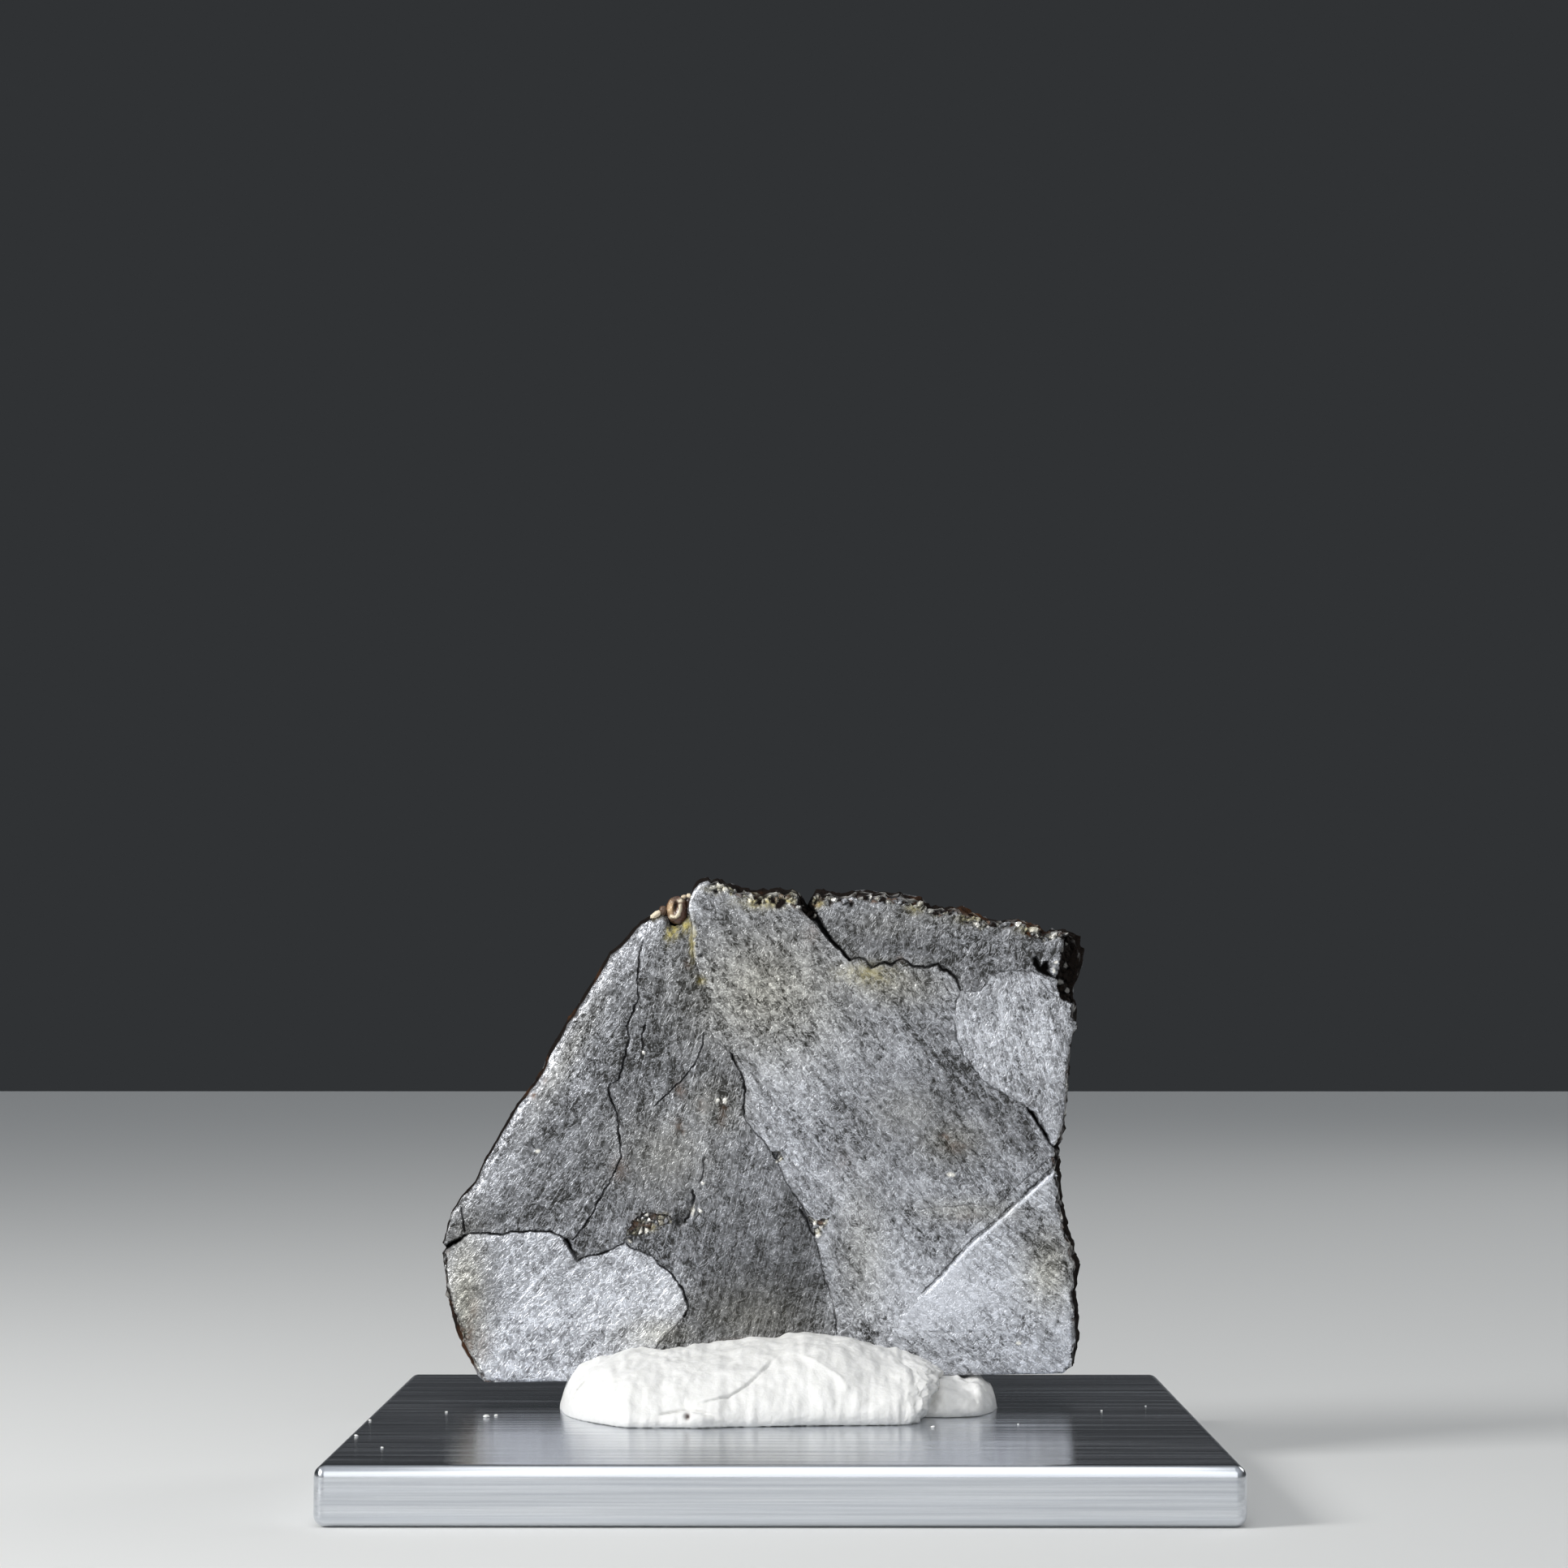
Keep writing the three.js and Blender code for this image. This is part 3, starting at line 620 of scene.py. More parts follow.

# %% Slow painted shading and sheen inside the grains
PAINTED_SHADING_BLOBS = [
    # place, radii, turn in degrees, change of tone: painted shading and sheen
    ((655, 1345), (150, 24), 59, 0.28), ((760, 1190), (60, 18), 55, 0.14), ((800, 1155), (26, 24), 0, 0.16),
    ((745, 1380), (90, 22), 62, -0.05), ((655, 1475), (50, 24), 40, -0.02),
    ((700, 1440), (50, 26), 40, -0.03), ((800, 1420), (60, 50), 0, 0.07), ((930, 1600), (100, 60), 0, -0.11),
    ((985, 1520), (30, 80), 12, -0.13), ((880, 1330), (26, 40), 0, -0.05), ((900, 1480), (50, 50), 0, -0.04),
    ((740, 1500), (24, 24), 0, 0.04), ((815, 1590), (30, 34), 0, 0.20), ((600, 1580), (26, 80), 0, -0.20),
    ((570, 1620), (16, 80), 0, -0.16), ((720, 1668), (26, 16), 30, -0.16), ((660, 1545), (60, 16), 0, -0.10),
    ((640, 1625), (50, 26), 40, 0.06), ((900, 1160), (60, 60), 0, -0.11), ((985, 1330), (60, 34), 35, 0.12),
    ((1000, 1285), (80, 26), 30, 0.08), ((960, 1400), (30, 50), -30, 0.08),
    ((1110, 1370), (60, 50), 0, -0.05), ((1165, 1420), (40, 30), 0, -0.09),
    ((1100, 1470), (110, 40), 0, 0.04), ((1100, 1585), (110, 66), 0, 0.27),
    ((1042, 1575), (14, 40), 12, -0.18), ((1090, 1645), (80, 18), 0, -0.06),
    ((1120, 1250), (50, 60), 0, -0.03), ((1080, 1540), (22, 50), 30, 0.10),
    ((1010, 1430), (22, 60), 35, 0.08), ((1240, 1290), (34, 60), 15, 0.05),
    ((1295, 1370), (16, 34), 0, -0.08), ((1240, 1215), (50, 14), 0, 0.08), ((1190, 1240), (14, 30), 0, 0.06),
    ((1210, 1600), (80, 36), 10, 0.19), ((1270, 1520), (44, 40), -40, -0.34),
    ((1300, 1570), (18, 40), -50, -0.22), ((1180, 1645), (90, 12), 0, -0.10),
    ((1240, 1655), (60, 8), 0, 0.02), ((1100, 1160), (60, 16), -10, -0.03),
    ((1230, 1170), (50, 20), -10, 0.02), ((870, 1110), (20, 22), 0, 0.16),
]
GRAIN_PAINTED_SHADING_BLOBS = [
    # the same painted shading for one grain only, given by its place in the list of grains, or -1 for the
    # middle one
    (-1, (838, 1262), (30, 70), -12, -0.03), (-1, (850, 1400), (60, 50), 0, 0.05),
    (2, (890, 1215), (26, 80), -14, 0.10), (2, (925, 1330), (26, 40), -30, 0.08),
    (-1, (985, 1600), (70, 60), 0, -0.06), (2, (1040, 1640), (16, 30), 12, 0.12),
    (1, (690, 1600), (50, 22), 40, 0.05), (1, (620, 1600), (30, 40), 0, -0.08),
    (1, (760, 1650), (40, 16), 0, -0.08), (3, (1130, 1140), (80, 16), -8, 0.05),
    (3, (1150, 1170), (60, 16), -8, -0.04), (2, (1085, 1450), (50, 60), 0, 0.03),
    (2, (1180, 1305), (38, 52), 0, -0.14), (2, (1230, 1385), (70, 40), -30, -0.15),
]
CALM_BLOBS = [
    # where the mottling is fainter: place, radii, turn in degrees, how much; below 0 it is stronger
    ((820, 1430), (70, 60), 0, 0.40), ((930, 1560), (70, 90), 0, 0.22), ((1110, 1370), (60, 50), 0, 0.40),
    ((1090, 1460), (60, 30), 0, 0.25), ((605, 1580), (24, 50), 0, 0.50), ((650, 1400), (24, 40), 0, 0.20),
    ((720, 1300), (50, 40), 60, -0.35), ((840, 1200), (40, 50), 0, -0.25), ((1210, 1615), (90, 50), 0, -0.70),
    ((1260, 1280), (50, 60), 0, -0.30), ((940, 1240), (60, 50), 0, -0.20), ((1185, 1310), (26, 34), 0, -0.30),
    ((810, 1590), (34, 40), 0, -0.35), ((1230, 1170), (60, 30), 0, -0.30), ((1090, 1640), (60, 30), 0, -0.25),
]
WARM_BLOBS = [
    # where the metal has a yellowish cast: place, radii, turn in degrees, strength
    ((940, 1220), (100, 80), 0, 0.8), ((1100, 1215), (60, 26), 0, 0.7), ((820, 1420), (60, 50), 0, 0.5),
    ((880, 1360), (40, 40), 0, 0.5), ((575, 1600), (26, 90), 0, 0.9), ((700, 1300), (90, 14), 60, 0.4),
    ((930, 1620), (80, 40), 0, 0.6), ((820, 1640), (50, 20), 0, 0.6), ((1290, 1560), (30, 46), 0, 0.8),
    ((1170, 1405), (40, 26), 0, 0.6), ((1190, 1490), (60, 14), 0, 0.5), ((1060, 1540), (30, 80), 0, 0.4),
    ((1150, 1130), (80, 14), -8, 0.3), ((1090, 1140), (60, 20), 0, 0.3), ((1120, 1370), (50, 30), 0, 0.3),
]

# %% Stains of rust and of yellow oxide
RUST_SPOTS = [
    # place, radii, strength
    ((838, 1342), (5, 9), 0.8), ((836, 1385), (4, 8), 0.7), ((841, 1393), (4, 4), 0.8),
    ((890, 1375), (3, 10), 0.6), ((864, 1360), (4, 4), 0.5), ((658, 1350), (5, 4), 0.9),
    ((672, 1330), (5, 5), 0.5), ((865, 1368), (3, 3), 0.7), ((892, 1364), (4, 3), 0.8),
    ((764, 1440), (9, 12), 0.5), ((1165, 1402), (5, 4), 0.7), ((1176, 1412), (14, 6), 0.5),
    ((1160, 1398), (4, 3), 0.8), ((1188, 1497), (14, 5), 0.5), ((1040, 1430), (10, 14), 0.3),
    ((585, 1610), (6, 14), 0.4), ((598, 1655), (8, 20), 0.4), ((582, 1645), (5, 20), 0.7),
    ((785, 1505), (7, 12), 0.25), ((812, 1500), (12, 9), 0.2), ((915, 1650), (30, 4), 0.5),
    ((845, 1188), (4, 4), 0.5), ((1110, 1183), (6, 4), 0.6), ((1000, 1150), (10, 12), 0.4),
]
YELLOW_SPOTS = [
    # the same for yellow oxide
    ((831, 1146), (5, 9), 1.0), ((823, 1152), (3, 9), 0.8), ((845, 1141), (6, 9), 0.9),
    ((853, 1160), (3, 20), 0.6), ((790, 1504), (5, 4), 0.25), ((803, 1512), (6, 4), 0.3),
    ((816, 1497), (7, 4), 0.2), ((940, 1112), (26, 7), 0.7), ((968, 1108), (12, 5), 0.9),
    ((884, 1094), (16, 6), 0.3), ((863, 1208), (5, 5), 0.8), ((1008, 1112), (8, 5), 0.7),
    ((1068, 1200), (30, 12), 0.4), ((1128, 1118), (10, 6), 0.4), ((1195, 1132), (14, 5), 0.4),
    ((1268, 1146), (14, 5), 0.5), ((808, 1129), (7, 3), 1.0),
]

# %% [markdown]
# ## Shaping the slice
# Every corner of the mesh now moves once. The depths of cracks, pits and chamfer push the face in, the
# flare and the crust's unevenness move the rim sideways, and corners between the two faces are shared out
# between them, so that the sides stay whole. The measures of each kind of damage come first.

# %% How deep the cracks are on one face
OPENING_LENGTH = 1.5
GROOVE_ROUNDNESS = 0.8
WEDGE_ROUNDNESS = 0.35


def groove_depths(where, back_face):
    """How deep each point lies in a crack, in mm, and how dark it is inside there, 0 to 1."""
    depth = np.zeros(len(where))
    dark = np.zeros(len(where))
    openness = np.clip(0.9 + 0.6 * uneven(np.insert(where, 1, 0, axis=1), OPENING_LENGTH, 21, 2), 0.45, 1.2)
    for (_, width, full, darkness, through), line in zip(CRACKS, crack_paths):
        if back_face and not through:
            continue
        distance, along, _ = near_path(where, line)
        taper = np.clip(np.minimum(along, 1 - along) * 9 + 0.45, 0, 1) * openness
        share = np.clip(1 - distance / (width / 2 * taper), 0, 1)
        depth = np.maximum(depth, full * taper * share ** GROOVE_ROUNDNESS)
        dark = np.maximum(dark, darkness * np.clip(openness * 1.1 - 0.1, 0, 1) * np.clip(share * 2.2, 0, 1))
    distance, along, _ = near_path(where, wedge_path)
    share = np.clip(1 - distance / np.interp(along, WEDGE_SHARES, WEDGE_HALF_WIDTHS), 0, 1)
    depth = np.maximum(depth, WEDGE_DEPTH * share ** WEDGE_ROUNDNESS * (1 - 0.6 * along))
    dark = np.maximum(dark, WEDGE_DARK * np.clip(share * 3.5, 0, 1))
    return depth, dark


# %% How the rim is rounded, broken and crumbled
RAGGED_LENGTH = 0.9


def broken_corner_depths(where):
    """The corner that broke off: it slopes back from a curved edge."""
    distance = near_path(where, traced(BROKEN_CORNER))[0]
    return np.where(inside(where, traced(BROKEN_CORNER_FIELD)), distance, 0)


def chamfer_widths(where):
    """How wide the rounded edge is at each point, in mm."""
    distance = near_path(where, traced(CHAMFER_LINE))[0]
    return SOFT_EDGE + (CHAMFER - SOFT_EDGE) * np.clip(1.6 - distance / 1.2, 0, 1)


def crumbly_edges(where, from_rim):
    """How crumbly the rim is near each point, and how strongly the face itself is broken into crumbs there."""
    rough, broken = np.zeros(len(where)), np.zeros(len(where))
    ragged = 1 + 1.1 * uneven(np.insert(where, 1, 0, axis=1), RAGGED_LENGTH, 15, 2)
    for path, strength, reach in CRUMBLY_EDGES:
        distance = near_path(where, traced(path))[0]
        rough = np.maximum(rough, strength * np.clip(1.5 - 1.5 * distance / 1.2, 0, 1))
        near = np.clip(3 - 2 * distance, 0, 1)
        broken = np.maximum(broken, near * np.clip((reach * ragged - from_rim) / 0.14, 0, 1))
    return rough, broken


# %% Where each corner lies, and how far the edges wander there
WOBBLE_LENGTH, WOBBLE = 0.5, 0.085
FINE_WOBBLE_LENGTH, FINE_WOBBLE = 0.2, 0.025

slice_shape.verts.ensure_lookup_table()
start = np.array([v.co for v in slice_shape.verts])
flat = start[:, [0, 2]]
behind = start[:, 1] / THICKNESS
on_front = behind < 0.5
rim_distance = near_path(flat, rim_path)[0]

wobble = np.column_stack([uneven(start * (1, 0, 1), WOBBLE_LENGTH, seed) for seed in (1, 2)]) * WOBBLE
wobble += np.column_stack([uneven(start * (1, 0, 1), FINE_WOBBLE_LENGTH, seed, 1)
                           for seed in (16, 17)]) * FINE_WOBBLE
front_groove, front_dark = groove_depths(flat + wobble, back_face=False)
back_groove, back_dark = groove_depths(flat + wobble, back_face=True)
print("front grooves up to", round(float(front_groove.max()), 2), "mm deep")

# %% Which grain each corner belongs to
grain = np.full(len(flat), -1)
tone, streak, level, scratched = [np.full(len(flat), float(value)) for value in MIDDLE_GRAIN]
# each grain's tone is its painted sheen
for number_of_grain, (field, grain_tone, angle, grain_level, grain_scratched) in enumerate(GRAINS):
    within = inside(flat + wobble, traced(field))
    grain[within] = number_of_grain
    tone[within], streak[within], level[within] = grain_tone, angle, grain_level
    scratched[within] = grain_scratched
print("corners in the middle grain:", int((grain == -1).sum()))

# %% Pits and glints
pit_depth = np.zeros(len(flat))
pit_dark = np.zeros(len(flat))
for place, radii, depth in PITS:
    hollow = blob(flat + 1.2 * wobble, place, radii)
    pit_depth = np.maximum(pit_depth, depth * hollow)
    pit_dark = np.maximum(pit_dark, np.clip(hollow * 1.4, 0, 1) * min(1, depth * 2.2))
glint = np.zeros(len(flat))
glint_height = np.zeros(len(flat))
for place, radii, height in GLINTS:
    crumb = blob(flat + 1.2 * wobble, place, radii)
    glint = np.maximum(glint, np.clip(crumb * 1.8 - 0.5, 0, 1))
    glint_height = np.maximum(glint_height, height * crumb)
print("pits up to", round(float(pit_depth.max()), 2), "mm deep")

# %% Crumbs: at the rim, in the broken fields, on the broken corner and in the wedge
CRUMBLE_LENGTH = 0.75
CORNER_EDGE = 0.08
PLUG_REACH = 0.7
HOLLOW_EDGE = 0.10

corner_run = broken_corner_depths(flat + 2 * wobble)
crumble = uneven(start, CRUMBLE_LENGTH, 3, 4)
crumbly, crumbled = crumbly_edges(flat, rim_distance)
crumbled *= on_front
corner_share = np.clip(corner_run / CORNER_EDGE, 0, 1)
field_depth = np.zeros(len(flat))
for field, depth in CRUMBLED_FIELDS:
    within = inside(flat + 1.5 * wobble, traced(field)) & on_front
    crumbled[within], field_depth[within] = 1, depth
in_field = field_depth > 0
wedge_distance, wedge_along, _ = near_path(flat, wedge_path)
plug = (front_groove > 0.5) & (wedge_along < WEDGE_PLUG) & (wedge_distance < PLUG_REACH) & on_front

inner = np.ones(len(flat))
number = np.full(len(flat), 0.7)
broken_up = (crumbled > 0) | (corner_share > 0) | plug | ((crumbly > 0) & (rim_distance < 0.05))
inner[broken_up], number[broken_up] = crumbs(start[broken_up], CRUMB, 18)
lump = np.sqrt(inner) * (0.35 + 0.65 * number)

hollow_field = traced(BLACK_HOLLOW)
hollow_rim = np.vstack([hollow_field, hollow_field[:1]])
hollow = inside(flat + wobble, hollow_field) * near_path(flat + wobble, hollow_rim)[0]
hollow_share = np.clip(hollow / HOLLOW_EDGE, 0, 1) * on_front
print("broken into crumbs:", int(broken_up.sum()), "of", len(flat), "corners")

# %% Depth of the front and back faces
RIM_REACH = 0.7
CORNER_RELIEF, CORNER_CRUMB = 0.25, 0.45
CRUMB_RELIEF, FIELD_RELIEF = 0.30, 0.3
PLUG_HEIGHT = 0.7
DEEPEST_SHARE = 0.62

near_rim = np.clip(1 - rim_distance / RIM_REACH, 0, 1)
ragged_edge = 1 + 0.22 * uneven(start * (1, 0, 1), 2.0, 4) + 0.40 * uneven(start * (1, 0, 1), 0.45, 19, 2)
edge_width = chamfer_widths(flat) * ragged_edge + 0.08 * crumbly
rounding = np.clip(edge_width - rim_distance, 0, None)
front_depth = (front_groove + level + pit_depth + rounding + BROKEN_CORNER_SLOPE * corner_run
               + (CORNER_RELIEF + CORNER_CRUMB * (1 - lump)) * corner_share + BLACK_HOLLOW_DEPTH * hollow_share
               + crumbled * (CRUMB_RELIEF + FIELD_RELIEF * field_depth) * (1 - lump) - PLUG_HEIGHT * plug * lump
               + crumbly * near_rim * np.clip(0.05 + 0.30 * crumble, 0, 1) - glint_height)
back_depth = back_groove + 0.5 * level + np.clip(SOFT_EDGE * 1.5 - rim_distance, 0, None)
front_depth = np.clip(front_depth, -0.02, THICKNESS * DEEPEST_SHARE)
depth_now = front_depth * (1 - behind) + (THICKNESS - back_depth) * behind
print("front face up to", round(float(front_depth.max()), 2), "mm deep")

# %% How far the rim reaches outwards
BROAD_LENGTH = 2.6
BULGE = 0.20
LUMPS_EVERYWHERE, LUMPS_WHERE_CRUMBLY, LUMPS_ON_SIDES = 0.04, 0.20, 0.14
CRUMB_REACH = 0.34

flare = np.full(len(flat), FLARE_EVERYWHERE)
for place, radii, turn, more in FLARE_BLOBS:
    flare += more * blob(flat, place, radii, turn)
ray = flat - CENTRE
ray /= np.hypot(*ray.T)[:, None]
broad = uneven(start, BROAD_LENGTH, 5, 2)
side_bulge = np.sin(np.pi * np.clip(behind, 0, 1))
lumpiness = LUMPS_EVERYWHERE + LUMPS_WHERE_CRUMBLY * crumbly + LUMPS_ON_SIDES * side_bulge
outward = near_rim * (flare * behind + BULGE * side_bulge * broad + lumpiness * crumble
                      + CRUMB_REACH * crumbly * (lump - 0.55) * (broken_up & (rim_distance < 0.3)))
print("rim moves outwards by up to", round(float(outward.max()), 2), "mm")

# %% Move every corner, and keep the top under the measured one
TOP_MARGIN = 0.02

moved = np.column_stack([start[:, 0] + ray[:, 0] * outward,
                         slice_low.y / MM + depth_now,
                         start[:, 2] + np.clip(ray[:, 1], 0, 1) * outward])
moved[:, 2] = np.minimum(moved[:, 2], slice_high.z / MM - TOP_MARGIN)
for corner, place in zip(slice_shape.verts, moved):
    corner.co = Vector(place) * MM
print("slice runs from", moved.min(axis=0).round(2), "to", moved.max(axis=0).round(2), "mm")

# %% [markdown]
# ## What the surface remembers
# A material can read a number stored at each corner of the mesh. The grain's tone with its painted sheen,
# shading and highlights, the run of its scratches, how warm it looks, how deep it lies in a crack, where
# crust and stains cover the metal, and where painted glints lie are all stored that way, so that they
# follow the shape exactly.

# %% Tone with its painted shading and highlights, and how scratched and how lively the face is
# painted shading and sheen, in soft blobs
for place, radii, turn, change in PAINTED_SHADING_BLOBS:
    tone += change * blob(flat, place, radii, turn)
for number_of_grain, place, radii, turn, change in GRAIN_PAINTED_SHADING_BLOBS:
    tone += change * blob(flat, place, radii, turn) * (grain == number_of_grain)
# painted highlights along edges that catch the light, and light scratches
for path, width, lighter in HIGHLIGHTS_AND_LIGHT_SCRATCHES:
    distance, along, _ = near_path(flat + 0.5 * wobble, traced(path))
    fade = np.clip(np.minimum(along, 1 - along) * 8 + 0.4, 0, 1)
    tone += lighter * fade * np.clip(1.4 - 2 * distance / width, 0, 1)
place, radii, turn, less = UNSCRATCHED
scratched *= 1 - less * blob(flat, place, radii, turn)
calm = np.zeros(len(flat))
for place, radii, turn, less in CALM_BLOBS:
    calm += less * blob(flat, place, radii, turn)
print("tone from", round(float(tone.min()), 2), "to", round(float(tone.max()), 2))

# %% Stains: each is as strong as its strongest spot
ruddy, warm, rust, yellow = [np.zeros(len(flat)) for _ in range(4)]
for place, radii, turn, strength in RUDDY_BLOBS:
    ruddy = np.maximum(ruddy, strength * blob(flat, place, radii, turn))
for place, radii, turn, strength in WARM_BLOBS:
    warm = np.maximum(warm, strength * blob(flat, place, radii, turn))
for place, radii, strength in RUST_SPOTS:
    rust = np.maximum(rust, strength * blob(flat + 2 * wobble, place, radii))
for place, radii, strength in YELLOW_SPOTS:
    yellow = np.maximum(yellow, strength * blob(flat + 2 * wobble, place, radii))
print("strongest yellow stain:", round(float(yellow.max()), 2))

# %% Crumbs: each takes its finish from its own number
BLACK_BELOW, BROWN_BELOW, GOLDEN_BELOW, BRIGHT_ABOVE = 0.20, 0.42, 0.60, 0.80
GOLDEN_PLACE, GOLDEN_RADII = (935, 1104), (50, 16)

number = np.where(in_field, 0.25 + 0.75 * number, number)
loose = crumbled * (1 - corner_share)
golden_zone = np.maximum(blob(flat, GOLDEN_PLACE, GOLDEN_RADII), np.where(in_field, 0.35, 0.2))
joint = np.clip(1.5 - 4 * inner, 0, 1) * np.maximum(crumbled, corner_share) * on_front
joint *= np.where(in_field, 0.85, 1)
black_crumb = loose * (number < BLACK_BELOW)
brown_crumb = loose * ((number >= BLACK_BELOW) & (number < BROWN_BELOW))
golden_crumb = loose * ((number >= BROWN_BELOW) & (number < GOLDEN_BELOW)) * golden_zone
bright_crumb = loose * (number > BRIGHT_ABOVE) + corner_share * 0.8 * (number > 0.95) * on_front
tone += 0.10 * loose
rust = np.maximum(rust, brown_crumb * 0.9)
yellow = np.maximum(yellow, golden_crumb * 0.7)
# the brightest crumbs get a painted glint
glint = np.maximum(glint, bright_crumb * np.clip(inner * 1.5, 0, 1) * np.where(in_field, 0.85, 0.6))
print("bright crumbs cover", int((bright_crumb > 0).sum()), "corners")

# %% Crust and darkness
FOOT_FADE_FROM, FOOT_FADE = 0.5, 0.6

side_crust = np.clip(behind * THICKNESS / 0.5, 0, 1) * (rim_distance < 0.02)
side_crust = np.where(behind > 1 - 1e-4, 0, side_crust)
foot = np.clip((moved[:, 2] - slice_low.z / MM - FOOT_FADE_FROM) / FOOT_FADE, 0, 1)
# the broken corner gets the crust colour all over: its rind, and also a painted shade for its hollow
crust = np.maximum.reduce([side_crust * (0.25 + 0.75 * foot), corner_share * on_front, black_crumb, plug])
inside_face = np.where(on_front, front_dark, back_dark)
dark = np.maximum.reduce([inside_face * (1 - 0.5 * plug), pit_dark * on_front, hollow_share, 0.9 * joint])
print("crust covers", int((crust > 0.5).sum()), "corners")

# %% Store the shades on the slice
SHARP_ANGLE = 42

shades = {
    "tone": np.clip(tone, 0, 1), "streak": np.radians(streak), "warm": warm, "dark": dark * (1 - glint),
    "crust": crust * (1 - 0.7 * glint), "rust": rust * on_front, "yellow": yellow * on_front, "glint": glint,
    "ruddy": ruddy, "scratched": scratched, "lively": 1 - np.clip(calm, -1, 0.8),
}
slice_data = bpy.data.meshes.new("iron_slice")
slice_shape.to_mesh(slice_data)
slice_shape.free()
for name, values in shades.items():
    layer = slice_data.attributes.new(name, "FLOAT", "POINT")
    layer.data.foreach_set("value", values.astype(np.float32))
slice_data.shade_smooth()
slice_data.set_sharp_from_angle(angle=math.radians(SHARP_ANGLE))
iron_slice = bpy.data.objects.new("iron_slice", slice_data)
bpy.context.collection.objects.link(iron_slice)
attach(iron_slice, "root")
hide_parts("meteorite_slice")
print("stored:", ", ".join(shades))

# %% [markdown]
# ## Lapped and etched nickel-iron
# The metal is kamacite, ground flat on a lap and lightly etched. The lap leaves short fine scratches that run
# one way in each grain, and the acid leaves the face mottled with flecks about half a millimetre across,
# thin winding light lines and tiny cells with darker joints. Each comes from a noise of its own, with its
# size in real millimetres, and most are squeezed along the grain's streak. Their sum makes the metal darker
# or lighter. To the eye that gives a soft grey shine that changes from grain to grain. One more noise, the
# sheen, is a painted sheen: broad light and dark streaks laid into the colour.

# %% Sizes of the pattern
PER_METRE = 1 / MM
STREAKED_NOISES = {
    # name: length and width in mm, detail, roughness, distortion
    "flecks": (0.80, 0.52, 2.0, 0.6, 1.2),
    "winding": (0.72, 0.48, 1.0, 0.4, 2.2),
    "scratches": (5.0, 0.10, 1.0, 0.5, 0.0),
    # sheen: a painted sheen, broad light and dark streaks in the colour
    "sheen": (4.5, 1.1, 3.0, 0.6, 0.0),
}
ROUND_NOISES = {
    # name: size in mm, detail, roughness
    "clouds": (6.0, 3.0, 0.6),
    "grit": (0.40, 4.0, 0.7),
    "patches": (2.4, 3.0, 0.6),
}
CELL = 0.36
CELL_WARP = 0.8
STRENGTHS = {"flecks": 2.7, "scratches": 1.4, "sheen": 1.9, "clouds": 0.8, "cells": 0.55}

# %% Noises
iron, tree, shader = new_material("lapped_nickel_iron")
place = add_node(tree, "ShaderNodeTexCoord").outputs["Object"]
stored = {name: add_node(tree, "ShaderNodeAttribute", {"attribute_name": name}).outputs["Fac"]
          for name in shades}
turned = add_node(tree, "ShaderNodeVectorRotate", {"rotation_type": "Y_AXIS"},
                  {"Vector": place, "Angle": stored["streak"]}).outputs["Vector"]
noises = {}
for name, (length, width, detail, rough, distortion) in STREAKED_NOISES.items():
    squeezed = add_node(tree, "ShaderNodeMapping", {}, {
        "Vector": turned, "Scale": (PER_METRE / length, PER_METRE / width, PER_METRE / width)})
    noises[name] = add_node(tree, "ShaderNodeTexNoise", {}, {
        "Vector": squeezed.outputs["Vector"], "Scale": 1.0, "Detail": detail, "Roughness": rough,
        "Distortion": distortion}).outputs["Fac"]
for name, (size, detail, rough) in ROUND_NOISES.items():
    noises[name] = add_node(tree, "ShaderNodeTexNoise", {}, {
        "Vector": place, "Scale": PER_METRE / size, "Detail": detail, "Roughness": rough}).outputs["Fac"]
print("noises:", ", ".join(noises))

# %% Cells with darker joints, and the thin winding light lines
warp = add_node(tree, "ShaderNodeTexNoise", {},
                {"Vector": place, "Scale": PER_METRE / CELL_WARP, "Detail": 1.0}).outputs["Color"]
warped = add_node(tree, "ShaderNodeVectorMath", {"operation": "MULTIPLY_ADD"},
                  {0: place, 1: (PER_METRE / CELL,) * 3, 2: warp}).outputs["Vector"]
cells = add_node(tree, "ShaderNodeTexVoronoi", {"feature": "F1"}, {"Vector": warped, "Scale": 1.0})
noises["cells"] = add_node(tree, "ShaderNodeSeparateColor", sockets={0: cells.outputs["Color"]}).outputs[0]
from_joint = add_node(tree, "ShaderNodeTexVoronoi", {"feature": "DISTANCE_TO_EDGE"},
                      {"Vector": warped, "Scale": 1.0}).outputs["Distance"]
joints = add_node(tree, "ShaderNodeMapRange", {}, {
    "Value": from_joint, "From Max": 0.16, "To Min": -0.18, "To Max": 0.06}).outputs["Result"]
off_middle = add_node(tree, "ShaderNodeMath", {"operation": "SUBTRACT"}, {0: noises["winding"], 1: 0.5})
from_line = add_node(tree, "ShaderNodeMath", {"operation": "ABSOLUTE"}, {0: off_middle.outputs[0]})
curls = add_node(tree, "ShaderNodeMapRange", {}, {
    "Value": from_line.outputs[0], "From Max": 0.06, "To Min": 0.80, "To Max": -0.30}).outputs["Result"]

